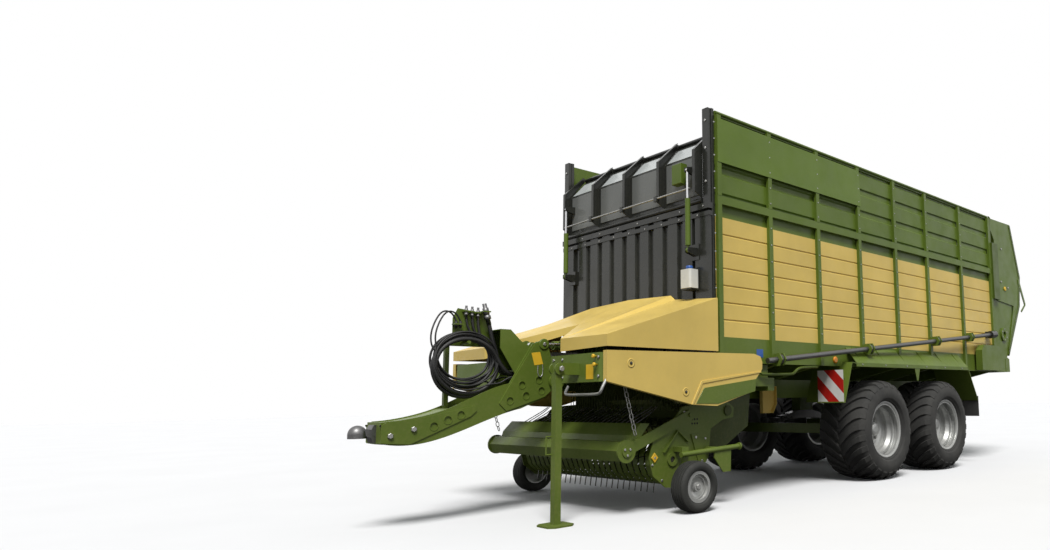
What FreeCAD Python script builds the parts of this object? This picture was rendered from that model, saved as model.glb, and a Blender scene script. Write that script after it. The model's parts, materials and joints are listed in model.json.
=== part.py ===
"""Loader wagon on a tandem axle, front towards -Y, its left side towards +X, Z up, in millimetres.

Along the wagon every place is first given from the front wall of the body (y = 0 there).
The finished pieces are then moved so that the origin lies under the middle of the whole wagon.
"""
import FreeCAD, Part
import os
from math import atan2, cos, degrees, hypot, pi, radians, sin, tan

V = FreeCAD.Vector
os.makedirs("parts", exist_ok=True)

# ---------------------------------------------------------------- driving dimensions
HITCH_REACH = 2505.0        # front wall to the tip of the ball cup
TAIL_REACH = 1220.0         # last post to the tip of the tailgate's levers

BAY_FRONT = 750.0           # pitch of the posts of the front bays
BAY_REAR = 915.0            # pitch of the posts of the rear bays
BAYS_FRONT = 5
BAYS_REAR = 2
BODY_HALF = 1115.0          # half width over the side boards
BOARD_THICK = 30.0
POST_DEEP = 32.0            # how far a post stands out from the boards
POST_WIDE = 52.0
BODY_TOP = 3444.0
FLOOR_TOP = 1290.0
FLOOR_THICK = 45.0
SILL_TOP = 1426.0           # lower edge of the yellow boards
YELLOW_TOP = 2485.0
BELT_BOTTOM = 2595.0
BELT_HIGH = 73.0
GROOVES = 7

TYRE_R = 533.0
TYRE_WIDE = 612.0
RIM_R = 286.0               # seat of the tyre's beads
WHEEL_X = 966.0             # middle of a main wheel
AXLE_FRONT_Y = 2505.0
AXLE_SPACING = 1370.0
SPINDLE_R = 42.0
RUN_CLEAR = 0.6             # radial play of a turning piece in its bearing
LUGS = 12                   # lugs on each half of the tread

FRAME_X = 455.0             # middle of a longitudinal beam
FRAME_WIDE = 90.0
FRAME_TOP = 1080.0
FRAME_DEEP = 190.0
RAIL_WIDE = 80.0

GAUGE_R = 203.0
GAUGE_WIDE = 160.0
GAUGE_Y = -316.0
GAUGE_RIM_R = 116.0

REEL_Y = -360.0
REEL_Z = 410.0
REEL_TIP_R = 285.0
BAND_R = 200.0
BAND_COUNT = 24
TINE_BARS = 5
PLATE = 10.0                # thickness of the larger plates
SHEET = 6.0                 # thickness of covers and guards

ROTOR_Y = 300.0
ROTOR_Z = 790.0
ROTOR_R = 245.0
TROUGH_R = 262.0
CHANNEL_INSET = 215.0       # side boards to the outer faces of the feed channel

PRESS_PIVOT_Y = -169.0
PRESS_PIVOT_Z = 763.0
PRESS_Y = -840.0
PRESS_Z = 503.0
PRESS_END_R = 88.0

DRAWBAR_HALF = 130.0        # outer faces of the drawbar's cheeks
DRAWBAR_PIVOT_Y = -930.0
DRAWBAR_PIVOT_Z = 1062.0
DRAWBAR_PIN_R = 30.0
EAR_Y = -1045.0             # eye of the drawbar cylinders
EAR_Z = 1375.0
BALL_R = 40.0               # ball coupling for an 80 mm ball
HITCH_Z = 690.0

HEAD_FRONT = -1190.0        # front face of the head beam
HEAD_HIGH = 215.0
HEAD_DEEP = 100.0
HEAD_GAP = 480.0            # half of the gap that the drawbar passes through

JACK_X = 820.0
JACK_Y = -1356.0
JACK_SIDE = 54.0
JACK_PIVOT_Z = 1135.0

SHAFT_OFF = 59.0            # middle of the side shaft beyond the posts
SHAFT_R = 26.0
SHAFT_FRONT_Y = 590.0
SHAFT_FRONT_Z = 1226.0
SHAFT_REAR_Z = 1705.0

COVER_REACH = 85.0          # hood and side covers beyond the side boards
HOOD_BOTTOM = 1292.0
COVER_GAP = 30.0            # between the hood and the side covers

FLAP_HINGE_Z = 2632.0
FLAP_HINGE_Y = -20.0
GATE_HINGE_Z = 3400.0
GUARD_REACH = 137.0         # mudguards beyond the side boards

# ---------------------------------------------------------------- values worked out
POST_OUT = BODY_HALF + POST_DEEP
BODY_LONG = BAYS_FRONT * BAY_FRONT + BAYS_REAR * BAY_REAR
REAR_REACH = BODY_LONG + TAIL_REACH
ORIGIN_Y = (REAR_REACH - HITCH_REACH) / 2
POSTS = [i * BAY_FRONT for i in range(BAYS_FRONT + 1)]
POSTS += [POSTS[-1] + (i + 1) * BAY_REAR for i in range(BAYS_REAR)]
POST_REAR = POSTS[-1] + POST_WIDE / 2
BELT_TOP = BELT_BOTTOM + BELT_HIGH
BOARD_IN = BODY_HALF - BOARD_THICK
AXLES = [AXLE_FRONT_Y, AXLE_FRONT_Y + AXLE_SPACING]
BOGIE_Y = AXLE_FRONT_Y + AXLE_SPACING / 2
GATE_HINGE_Y = BODY_LONG + 60.0
GATE_HALF = BODY_HALF
COVER_OUT = BODY_HALF + COVER_REACH         # outer faces of the hood and the side covers
COVER_TOP = HOOD_BOTTOM - COVER_GAP
COVER_HINGE_Z = COVER_TOP - 8.0
HEAD_HALF = COVER_OUT - 70.0
HEAD_TOP = COVER_TOP - 12.0
HEAD_BOTTOM = HEAD_TOP - HEAD_HIGH
CHANNEL_HALF = BODY_HALF - CHANNEL_INSET    # outer faces of the feed channel's cheeks
PICKUP_HALF = CHANNEL_HALF + 40.0           # half of the pick-up's working width
SIDE_X = CHANNEL_HALF + 60.0                # inner faces of the pick-up's side plates
RAIL_X = CHANNEL_HALF + 130.0               # middle of the outer rails beside the feed channel
GAUGE_X = SIDE_X + PLATE + GAUGE_WIDE / 2 + 138.0
FLAP_HALF = BODY_HALF - 100.0
GUARD_OUT = BODY_HALF + GUARD_REACH
SHAFT_X = POST_OUT + SHAFT_OFF
SHAFT_REAR_Y = POSTS[-1] - 250.0


# ---------------------------------------------------------------- helpers
def box(x0, x1, y0, y1, z0, z1):
    """Block between two corners."""
    return Part.makeBox(x1 - x0, y1 - y0, z1 - z0, V(x0, y0, z0))


def prism(axis, points, lo, hi):
    """Outline of points, (y, z), (x, z) or (x, y), drawn along an axis from lo to hi."""
    place = {"x": lambda a, b: V(lo, a, b), "y": lambda a, b: V(a, lo, b), "z": lambda a,
             b: V(a, b, lo)}[axis]
    along = {"x": V(1, 0, 0), "y": V(0, 1, 0), "z": V(0, 0, 1)}[axis]
    corners = [place(a, b) for a, b in points]
    face = Part.Face(Part.makePolygon(corners + corners[:1]))
    return face.extrude(along * (hi - lo))


def curved_prism(lower, upper, lo, hi):
    """Plate across X between two smooth lines of (y, z) points, its ends straight."""
    edges = []
    for line in (lower, upper[::-1]):
        curve = Part.BSplineCurve()
        curve.interpolate([V(lo, y, z) for y, z in line])
        edges.append(curve.toShape())
    edges.insert(1, Part.makeLine(V(lo, *lower[-1]), V(lo, *upper[-1])))
    edges.append(Part.makeLine(V(lo, *upper[0]), V(lo, *lower[0])))
    return Part.Face(Part.Wire(edges)).extrude(V(hi - lo, 0, 0))


def rod(p, q, r):
    """Round bar of radius r from p to q."""
    start, end = V(*p), V(*q)
    return Part.makeCylinder(r, (end - start).Length, start, end - start)


def tube(p, q, r, bore):
    """Round tube from p to q, its bore running right through."""
    start, end = V(*p), V(*q)
    step = (end - start).normalize()
    cut = rod(tuple(start - step), tuple(V(*q) + step), bore)
    return rod(p, q, r).cut(cut)


def strut(p, q, wide, high):
    """Rectangular bar between two points of one YZ plane, wide along X."""
    dy, dz = q[1] - p[1], q[2] - p[2]
    long = hypot(dy, dz)
    ny, nz = -dz / long * high / 2, dy / long * high / 2
    outline = [(p[1] + ny, p[2] + nz), (q[1] + ny, q[2] + nz), (q[1] - ny, q[2] - nz),
               (p[1] - ny, p[2] - nz)]
    return prism("x", outline, p[0] - wide / 2, p[0] + wide / 2)


def ring_points(centre, r, sides, start=0.0, sweep=360.0):
    """Points (y, z) on a circle: all round, or on an arc with both of its ends."""
    last = sides if sweep < 360.0 else sides - 1
    angles = [radians(start + sweep * i / sides) for i in range(last + 1)]
    return [(centre[0] + r * cos(a), centre[1] + r * sin(a)) for a in angles]


def polygon_bar(p, q, r, sides):
    """Bar across X with a regular section, cheap in facets."""
    return prism("x", ring_points(p[1:], r, sides), p[0], q[0])


def turned(points, centre, mirror=False):
    """Profile of (x, r) turned about an X axis through centre."""
    sign = -1 if mirror else 1
    corners = [V(sign * x, 0, r) for x, r in points]
    face = Part.Face(Part.makePolygon(corners + corners[:1]))
    solid = face.revolve(V(0, 0, 0), V(1, 0, 0), 360)
    solid.translate(V(*centre))
    return solid


def faceted(points, sides):
    """Profile of (x, r) carried round the X axis in flat steps, r measured to the middle of each step."""
    grow = 1 / cos(pi / sides)
    rings = []
    for i in range(sides):
        a = 2 * pi * (i + 0.5) / sides
        rings.append([V(x, r * grow * sin(a), r * grow * cos(a)) for x, r in points])
    faces = []
    for i in range(sides):
        for k in range(len(points)):
            near, far = rings[i], rings[(i + 1) % sides]
            corners = [near[k], near[(k + 1) % len(points)], far[(k + 1) % len(points)], far[k]]
            faces.append(Part.Face(Part.makePolygon(corners + corners[:1])))
    return closed_solid(faces)


def closed_solid(faces):
    shell = Part.Shell(faces)
    shell.sewShape()
    solid = Part.Solid(shell)
    if solid.Volume < 0:
        solid.reverse()
    return solid


def polyhedron(points, faces):
    """Closed solid from named corners and the corner names of each flat face."""
    flat = []
    for names in faces:
        corners = [V(*points[n]) for n in names]
        flat.append(Part.Face(Part.makePolygon(corners + corners[:1])))
    return closed_solid(flat)


def inset(points, t):
    """Convex outline moved inwards by t."""
    count = len(points)
    middle_a = sum(p[0] for p in points) / count
    middle_b = sum(p[1] for p in points) / count
    lines = []
    for i in range(count):
        (a0, b0), (a1, b1) = points[i], points[(i + 1) % count]
        long = hypot(a1 - a0, b1 - b0)
        na, nb = -(b1 - b0) / long, (a1 - a0) / long
        if (middle_a - a0) * na + (middle_b - b0) * nb < 0:
            na, nb = -na, -nb
        lines.append((na, nb, na * a0 + nb * b0 + t))
    moved = []
    for i in range(count):
        a0, b0, c0 = lines[i - 1]
        a1, b1, c1 = lines[i]
        det = a0 * b1 - a1 * b0
        moved.append(((c0 * b1 - c1 * b0) / det, (a0 * c1 - a1 * c0) / det))
    return moved


def mirrored(shape):
    return shape.mirror(V(0, 0, 0), V(1, 0, 0))


def fuse(shapes):
    """One solid from pieces that meet."""
    whole = shapes[0].multiFuse(shapes[1:]) if len(shapes) > 1 else shapes[0]
    return whole.removeSplitter()


def both(shape):
    return [shape, mirrored(shape)]


def both_fused(shapes):
    """Pieces and their mirror images in one solid."""
    return fuse(shapes + [mirrored(s) for s in shapes])


def save(name, shapes):
    """Write one node, a solid or several that don't touch, in the wagon's own frame."""
    whole = Part.makeCompound(shapes) if isinstance(shapes, list) else shapes
    whole = whole.copy()
    whole.translate(V(0, -ORIGIN_Y, 0))
    for solid in whole.Solids:
        if not solid.isValid():
            print("INVALID", name)
    print("%-22s solids %d  volume %.4f m3" % (name, len(whole.Solids), whole.Volume / 1e9))
    whole.exportStep("parts/%s.step" % name)


# ---------------------------------------------------------------- wheels
BEAD_HALF = 0.80            # share of a main tyre's half width that its beads stand apart
FLANGE_HIGH = 13.0
LUG_HIGH = 24.0
LUG_LONG = 70.0


def main_tyre(x, y):
    """Tyre with a straight-sided section, its shoulder lugs set in V form on the tread."""
    half = TYRE_WIDE / 2
    crown = TYRE_R - LUG_HIGH
    wall = crown - RIM_R
    right = [(0.86 * half, crown), (half, RIM_R + 0.50 * wall), (BEAD_HALF * half, RIM_R + FLANGE_HIGH + 4),
             (BEAD_HALF * half, RIM_R)]
    pieces = [faceted([(-px, r) for px, r in right[::-1]] + right, 2 * LUGS)]
    flat = crown * sin(pi / (2 * LUGS))         # half of a lug's room round the tread
    for i in range(LUGS):
        for side, turn in ((-1, 0.0), (1, 0.5)):
            inner, outer = side * 0.06 * half, side * 0.90 * half
            outline = [(inner, flat - LUG_LONG), (outer, -flat + 2), (outer, LUG_LONG - flat + 2),
                       (inner, flat - 2)]
            lug = prism("z", outline, crown - 0.08 * wall, TYRE_R)
            lug.rotate(V(0, 0, 0), V(1, 0, 0), 360.0 * (i + turn) / LUGS)
            pieces.append(lug)
    whole = fuse(pieces)
    whole.translate(V(x, y, TYRE_R))
    return whole


def main_rim(x, y):
    """Drop-centre rim with a stepped dish, its hub bored for the spindle; the dish faces outwards."""
    half = BEAD_HALF * TYRE_WIDE / 2
    wall = 8.0
    well = RIM_R - 34.0
    barrel = [(-half - 14, RIM_R + FLANGE_HIGH), (-half, RIM_R + FLANGE_HIGH), (-half, RIM_R),
              (-half + 60, RIM_R),
              (-half + 95, well), (half - 130, well), (half - 60, RIM_R), (half, RIM_R),
              (half, RIM_R + FLANGE_HIGH), (half + 14, RIM_R + FLANGE_HIGH), (half + 14, RIM_R + 5),
              (half + 8, RIM_R - wall), (half - 60, RIM_R - wall), (half - 130, well - wall),
              (-half + 95, well - wall), (-half + 60, RIM_R - wall), (-half - 14, RIM_R - wall)]
    disc = [(30, 90), (30, 176), (50, 206), (62, well - wall / 2), (76, well - wall / 2), (64, 204),
            (44, 172), (44, 90)]
    hub = [(-60, SPINDLE_R + RUN_CLEAR), (-60, 95), (44, 95), (44, 82), (112, 74),
           (112, SPINDLE_R + RUN_CLEAR)]
    return fuse([turned(p, (x, y, TYRE_R), x < 0) for p in (barrel, disc, hub)])


GAUGE_BEAD = 0.62 * GAUGE_WIDE / 2
GAUGE_SPINDLE_R = 20.0


def gauge_tyre(x, y):
    """Small tyre with a smooth round tread."""
    half = GAUGE_WIDE / 2
    right = [(0.55 * half, GAUGE_R), (half, GAUGE_R - 34), (half, GAUGE_RIM_R + 36),
             (GAUGE_BEAD, GAUGE_RIM_R + 11), (GAUGE_BEAD, GAUGE_RIM_R)]
    whole = faceted([(-px, r) for px, r in right[::-1]] + right, 16)
    whole.translate(V(x, y, GAUGE_R))
    return whole


def gauge_rim(x, y):
    """Pressed rim with its hub; the dish faces outwards."""
    seat, hub = GAUGE_BEAD, 34.0
    line = [(-seat - 6, GAUGE_RIM_R + 8), (-seat, GAUGE_RIM_R + 8), (-seat, GAUGE_RIM_R),
            (seat, GAUGE_RIM_R), (seat, GAUGE_RIM_R + 8), (seat + 6, GAUGE_RIM_R + 8),
            (seat + 6, GAUGE_RIM_R - 6), (22, GAUGE_RIM_R - 16), (10, hub + 6), (seat - 8, hub),
            (seat - 8, GAUGE_SPINDLE_R + RUN_CLEAR), (-seat, GAUGE_SPINDLE_R + RUN_CLEAR), (-seat, hub),
            (4, hub + 6),
            (14, GAUGE_RIM_R - 22), (-seat - 6, GAUGE_RIM_R - 6)]
    return turned(line, (x, y, GAUGE_R), x < 0)


for y, row in zip(AXLES, ("front", "rear")):
    for x, side in ((WHEEL_X, "left"), (-WHEEL_X, "right")):
        save("tyre_%s_%s" % (row, side), main_tyre(x, y))
        save("rim_%s_%s" % (row, side), main_rim(x, y))
for x, side in ((GAUGE_X, "left"), (-GAUGE_X, "right")):
    save("gauge_tyre_%s" % side, gauge_tyre(x, GAUGE_Y))
    save("gauge_rim_%s" % side, gauge_rim(x, GAUGE_Y))

# ---------------------------------------------------------------- running gear
AXLE_HALF = WHEEL_X - 130.0
AXLE_SIDE = 110.0
HUB_HALF = 118.0            # from a wheel's middle to the end of its spindle
axles = []
for y in AXLES:
    beam = box(-AXLE_HALF, AXLE_HALF, y - AXLE_SIDE / 2, y + AXLE_SIDE / 2, TYRE_R - AXLE_SIDE / 2,
               TYRE_R + AXLE_SIDE / 2)
    spindle = rod((-WHEEL_X - HUB_HALF, y, TYRE_R), (WHEEL_X + HUB_HALF, y, TYRE_R), SPINDLE_R)
    collar = rod((AXLE_HALF, y, TYRE_R), (WHEEL_X - 70, y, TYRE_R), 60)
    cap = rod((WHEEL_X + HUB_HALF - 5, y, TYRE_R), (WHEEL_X + HUB_HALF + 8, y, TYRE_R), 62)
    axles.append(fuse([beam, spindle] + both(collar) + both(cap)))
save("axles", axles)

LEAVES = (760.0, 620.0, 470.0, 320.0)       # half lengths, from the lowest leaf up
LEAF_THICK = 26.0
LEAF_RISE = 40.0
LEAF_WIDE = 90.0
SPRING_Z = TYRE_R + AXLE_SIDE / 2
SPRING_TOP = SPRING_Z + LEAF_THICK * len(LEAVES) + LEAF_RISE


def leaf(half, z):
    """One leaf, flat over the seat and bent down to its ends."""
    low = [(-half, z), (-120, z + LEAF_RISE), (120, z + LEAF_RISE), (half, z)]
    line = low + [(y, top + LEAF_THICK) for y, top in low[::-1]]
    return prism("x", [(BOGIE_Y + y, top) for y, top in line], FRAME_X - LEAF_WIDE / 2,
                 FRAME_X + LEAF_WIDE / 2)


leaves = [leaf(half, SPRING_Z + LEAF_THICK * i) for i, half in enumerate(LEAVES)]
clamps = [box(FRAME_X - 60, FRAME_X + 60, y - 75, y + 75, SPRING_Z, SPRING_Z + 60) for y in AXLES]
save("leaf_springs", both(fuse(leaves + clamps)))

# ---------------------------------------------------------------- chassis
FRONT_BEAM_Y = 745.0        # front face of the cross beam behind the feed channel
FRAME_REAR = BODY_LONG + 300.0
CROSS_DEEP = 120.0
BEAM_IN = FRAME_X - FRAME_WIDE / 2
BEAM_OUT = FRAME_X + FRAME_WIDE / 2
BEARER_TOP = FLOOR_TOP - FLOOR_THICK
BEARER_EDGE = 40.0          # depth of a bearer at the side boards
CROSS_LONG = 90.0           # the front cross beam along Y
beam = prism("x", [(FRONT_BEAM_Y + CROSS_LONG, FRAME_TOP), (FRAME_REAR, FRAME_TOP),
                   (FRAME_REAR, FRAME_TOP - FRAME_DEEP + 60), (BODY_LONG - 500, FRAME_TOP - FRAME_DEEP),
                   (FRONT_BEAM_Y + CROSS_LONG, FRAME_TOP - FRAME_DEEP)], BEAM_IN, BEAM_OUT)
spring_seat = box(FRAME_X - 70, FRAME_X + 70, BOGIE_Y - 130, BOGIE_Y + 130, SPRING_TOP,
                  FRAME_TOP - FRAME_DEEP + 1)
CASE_X = BEAM_OUT + 90.0    # inner face of the chain cases beside the beams
CASE_Y = FRONT_BEAM_Y + 425.0
CASE_WIDE = 40.0
case_arm = box(BEAM_OUT, CASE_X, CASE_Y + 80, CASE_Y + 130, FRAME_TOP - FRAME_DEEP + 10,
               FRAME_TOP - FRAME_DEEP + 60)
cross_places = [FRONT_BEAM_Y + 955, BOGIE_Y - 500, BOGIE_Y + 500, BODY_LONG - 420, BODY_LONG + 200]
cross = [box(-BEAM_IN, BEAM_IN, y - 35, y + 35, FRAME_TOP - CROSS_DEEP,
             FRAME_TOP - 2) for y in cross_places]
cross.append(box(-RAIL_X - RAIL_WIDE / 2, RAIL_X + RAIL_WIDE / 2, FRONT_BEAM_Y, FRONT_BEAM_Y + CROSS_LONG,
                 FRAME_TOP - CROSS_DEEP, FRAME_TOP))
bearer = [(-BOARD_IN, BEARER_TOP - BEARER_EDGE), (-BOARD_IN, BEARER_TOP), (BOARD_IN, BEARER_TOP),
          (BOARD_IN, BEARER_TOP - BEARER_EDGE), (FRAME_X + 60, FRAME_TOP), (-FRAME_X - 60, FRAME_TOP)]
bearer_places = [FRONT_BEAM_Y + 135] + POSTS[2:-1] + [BODY_LONG - 15]
bearers = [prism("y", bearer, y - 30, y + 30) for y in bearer_places]
save("chassis_frame", both(fuse([beam, spring_seat])) + both(case_arm) + cross + bearers)

case_line = [(CASE_Y + y, FRAME_TOP - FRAME_DEEP + z)
             for y, z in ((0, -150), (0, 120), (220, 120), (220, -60), (160, -150))]
chain_case = prism("x", case_line, CASE_X, CASE_X + CASE_WIDE)
chain_case = chain_case.cut(prism("x", inset(case_line, SHEET), CASE_X + SHEET, CASE_X + CASE_WIDE + 1))
save("chain_guards", both(chain_case))

# ---------------------------------------------------------------- load floor with its scraper chains
FLOOR_FRONT = FRONT_BEAM_Y - 105.0
FLOOR_REAR = BODY_LONG + 60.0
CHAIN_HIGH = 14.0
CHAIN_PLACES = (260.0, BOARD_IN - 185.0)
BAR_ENDS = (CHAIN_PLACES[0] - 80.0, CHAIN_PLACES[1] + 100.0)
SCRAPER_PITCH = 520.0
save("load_floor", box(-BOARD_IN, BOARD_IN, FLOOR_FRONT, FLOOR_REAR, FLOOR_TOP - FLOOR_THICK, FLOOR_TOP))
scrapers = [box(x - 14, x + 14, FLOOR_FRONT + 60, FLOOR_REAR - 60, FLOOR_TOP, FLOOR_TOP + CHAIN_HIGH)
            for x in CHAIN_PLACES]
for i in range(int((FLOOR_REAR - FLOOR_FRONT - 200) // SCRAPER_PITCH) + 1):
    y = FLOOR_FRONT + 120 + i * SCRAPER_PITCH
    angle_bar = [(y, FLOOR_TOP), (y + 40, FLOOR_TOP), (y + 40, FLOOR_TOP + 34), (y + 30, FLOOR_TOP + 34),
                 (y + 30, FLOOR_TOP + CHAIN_HIGH), (y, FLOOR_TOP + CHAIN_HIGH)]
    scrapers.append(prism("x", angle_bar, *BAR_ENDS))
save("scraper_chains", both(fuse(scrapers)))

# ---------------------------------------------------------------- side walls
WALL_FRONT = 40.0
WALL_REAR = BODY_LONG + 20.0
GROOVE_PITCH = (YELLOW_TOP - SILL_TOP) / GROOVES
GROOVE_DEEP = 9.0
yellow = [(BOARD_IN, SILL_TOP), (BODY_HALF, SILL_TOP)]
for i in range(1, GROOVES):
    z = SILL_TOP + i * GROOVE_PITCH
    yellow += [(BODY_HALF, z - 14), (BODY_HALF - GROOVE_DEEP, z - 4), (BODY_HALF - GROOVE_DEEP, z + 3),
               (BODY_HALF, z + 6)]
yellow += [(BODY_HALF, YELLOW_TOP), (BOARD_IN, YELLOW_TOP)]
save("lower_boards", both(prism("y", yellow, WALL_FRONT, WALL_REAR)))

UPPER_BOARDS = 3
TOP_RAIL_HIGH = 45.0
UPPER_TOP = BODY_TOP - TOP_RAIL_HIGH
BEAD_DEEP = 14.0
UPPER_PITCH = (UPPER_TOP - BELT_TOP) / UPPER_BOARDS
green = [(BOARD_IN, BELT_TOP)]
for i in range(UPPER_BOARDS):
    z0 = BELT_TOP + i * UPPER_PITCH
    z1 = z0 + UPPER_PITCH
    green += [(BODY_HALF - BEAD_DEEP, z0), (BODY_HALF - BEAD_DEEP, z0 + 26), (BODY_HALF, z0 + 40),
              (BODY_HALF, z1 - 40), (BODY_HALF - BEAD_DEEP, z1 - 26)]
green += [(BODY_HALF - BEAD_DEEP, UPPER_TOP), (BOARD_IN, UPPER_TOP)]
save("upper_boards", both(prism("y", green, WALL_FRONT, WALL_REAR)))

SILL_BOTTOM = FLOOR_TOP - FLOOR_THICK - 40.0
top_tube = rod((BODY_HALF + 4, WALL_FRONT, BODY_TOP - 16), (BODY_HALF + 4, WALL_REAR, BODY_TOP - 16), 16)
frame = [box(BOARD_IN, BODY_HALF, WALL_FRONT, WALL_REAR, SILL_BOTTOM, SILL_TOP),
         box(BOARD_IN, BODY_HALF - 12, WALL_FRONT, WALL_REAR, YELLOW_TOP, BELT_BOTTOM),
         box(BOARD_IN, BODY_HALF + 30, WALL_FRONT, WALL_REAR, BELT_BOTTOM, BELT_TOP),
         box(BOARD_IN, BODY_HALF + 4, WALL_FRONT, WALL_REAR, UPPER_TOP, BODY_TOP), top_tube]
for y in POSTS:
    lo = max(y - POST_WIDE / 2, WALL_FRONT)
    frame.append(box(BODY_HALF, POST_OUT, lo, lo + POST_WIDE, SILL_BOTTOM, BELT_BOTTOM))
    frame.append(box(BODY_HALF, POST_OUT, lo, lo + POST_WIDE, BELT_TOP, UPPER_TOP + 8))
side_frame = fuse(frame)
save("side_frames", both(side_frame))

SIGN_LONG = POSTS[3] + 40.0
SIGN_BOTTOM = BODY_TOP - 472.0
SIGN_TOP = BODY_TOP - 72.0
sign = prism("x", [(WALL_FRONT + 2, SIGN_BOTTOM), (SIGN_LONG, SIGN_BOTTOM), (SIGN_LONG - 25, SIGN_TOP),
                   (WALL_FRONT + 2, SIGN_TOP)], POST_OUT, POST_OUT + 4)
save("sign_boards", both(sign))

# ---------------------------------------------------------------- front wall
RIB_DEEP = 28.0
WALL_FACE = -6.0            # front of the sheet between its ribs
RIB_FACE = WALL_FACE - RIB_DEEP
WALL_BACK = 2.0
WALL_BOTTOM = HEAD_TOP - 50.0
RIBS = 9
POST_TOP = BODY_TOP + 15.0
FRONT_POST_IN = BODY_HALF - 85.0
rib_pitch = 2 * CHANNEL_HALF / RIBS
wall_line = [(-BOARD_IN, WALL_BACK), (-BOARD_IN, WALL_FACE)]
for i in range(RIBS):
    x = -CHANNEL_HALF + i * rib_pitch
    wall_line += [(x + 0.02 * rib_pitch, WALL_FACE), (x + 0.30 * rib_pitch, WALL_FACE),
                  (x + 0.36 * rib_pitch, RIB_FACE),
                  (x + 0.96 * rib_pitch, RIB_FACE)]
wall_line += [(CHANNEL_HALF, WALL_FACE), (BOARD_IN, WALL_FACE), (BOARD_IN, WALL_BACK)]
CROSSBAR_TOP = FLAP_HINGE_Z - 34.0
CROSSBAR_BOTTOM = CROSSBAR_TOP - 52.0
ribbed = prism("z", wall_line, WALL_BOTTOM, CROSSBAR_TOP - 4)
crossbars = [box(-BODY_HALF, BODY_HALF, RIB_FACE - 14, WALL_BACK, CROSSBAR_BOTTOM, CROSSBAR_TOP),
             box(-BODY_HALF, BODY_HALF, RIB_FACE - 6, WALL_BACK, CROSSBAR_BOTTOM - 62,
                 CROSSBAR_BOTTOM - 22)]
post = box(FRONT_POST_IN, BODY_HALF, WALL_BACK, WALL_FRONT - 8, WALL_BOTTOM, POST_TOP)
upper_post = box(FRONT_POST_IN + 5, BODY_HALF - 10, RIB_FACE, WALL_BACK, CROSSBAR_TOP - 1, POST_TOP)
side_channel = box(CHANNEL_HALF + 30, BODY_HALF - 6, RIB_FACE, WALL_FACE + 1, WALL_BOTTOM + 250,
                   CROSSBAR_BOTTOM - 61)
wall_pieces = [ribbed] + crossbars + both(post) + both(upper_post) + both(side_channel)

# flap cylinders: barrel below, rod above, open at the rod's eye
FLAP_EYE_X = FLAP_HALF - 80.0
FLAP_EYE_Y = -125.0
FLAP_EYE_Z = FLAP_HINGE_Z + 273.0
FLAP_FOOT_Z = FLAP_HINGE_Z - 447.0
EYE_HALF = 12.0             # half width of a rod's eye
EYE_GAP = 0.6               # from an eye to the lug beside it
LUG_THICK = 6.0
BARREL_R = 24.0
barrels, rods, feet = [], [], []
for x in (-FLAP_EYE_X, FLAP_EYE_X):
    barrels.append(fuse([
        tube((x, FLAP_EYE_Y, FLAP_FOOT_Z + 50), (x, FLAP_EYE_Y, FLAP_FOOT_Z + 460), BARREL_R,
             BARREL_R - 4.5),
        rod((x, FLAP_EYE_Y, FLAP_FOOT_Z + 42), (x, FLAP_EYE_Y, FLAP_FOOT_Z + 60), BARREL_R),
        rod((x, FLAP_EYE_Y, FLAP_FOOT_Z + 14), (x, FLAP_EYE_Y, FLAP_FOOT_Z + 44), EYE_HALF),
        tube((x - EYE_HALF, FLAP_EYE_Y, FLAP_FOOT_Z), (x + EYE_HALF, FLAP_EYE_Y, FLAP_FOOT_Z), 20, 9.5)]))
    rods.append(fuse([
        rod((x, FLAP_EYE_Y, FLAP_FOOT_Z + 260), (x, FLAP_EYE_Y, FLAP_EYE_Z - 14), 11),
        rod((x, FLAP_EYE_Y, FLAP_FOOT_Z + 250), (x, FLAP_EYE_Y, FLAP_FOOT_Z + 280), BARREL_R - 5.5),
        rod((x - EYE_HALF, FLAP_EYE_Y, FLAP_EYE_Z), (x + EYE_HALF, FLAP_EYE_Y, FLAP_EYE_Z), 17)]))
    for lo in (x - EYE_HALF - 4 - LUG_THICK, x + EYE_HALF + 4):
        feet.append(prism("x", [(RIB_FACE, FLAP_FOOT_Z - 50), (FLAP_EYE_Y - 20, FLAP_FOOT_Z - 20),
                                (FLAP_EYE_Y - 20, FLAP_FOOT_Z + 20), (RIB_FACE, FLAP_FOOT_Z + 30)], lo,
                                lo + LUG_THICK))
    feet.append(rod((x - EYE_HALF - 14, FLAP_EYE_Y, FLAP_FOOT_Z),
                    (x + EYE_HALF + 14, FLAP_EYE_Y, FLAP_FOOT_Z), 9))
    feet.append(box(x - 50, x + 50, RIB_FACE - 8, WALL_FACE + 1, FLAP_FOOT_Z - 80, FLAP_FOOT_Z + 60))
save("flap_barrels", barrels)
save("flap_rods", rods)

CANISTER_X = FLAP_EYE_X - 15.0
CANISTER_Z = FLAP_FOOT_Z - 335.0
CANISTER_SIZE = (130.0, 110.0, 165.0)
shelf_y = RIB_FACE - 8 - CANISTER_SIZE[1]
canister_shelf = box(CANISTER_X - 60, CANISTER_X + 60, shelf_y + 12, WALL_FACE + 1, CANISTER_Z - 12.3,
                     CANISTER_Z - 0.3)
save("front_wall", fuse(wall_pieces + feet + [canister_shelf]))

half_x, long_y, high_z = CANISTER_SIZE[0] / 2, CANISTER_SIZE[1], CANISTER_SIZE[2]
canister = box(CANISTER_X - half_x, CANISTER_X + half_x, shelf_y, shelf_y + long_y, CANISTER_Z,
               CANISTER_Z + high_z)
canister = canister.makeFillet(20,
                               [e for e in canister.Edges if abs(e.tangentAt(e.FirstParameter).z) > 0.9])
neck = rod((CANISTER_X, shelf_y + long_y / 2, CANISTER_Z + high_z - 1),
           (CANISTER_X, shelf_y + long_y / 2, CANISTER_Z + high_z + 30), 24)
save("canister", canister.fuse(neck))

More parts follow.
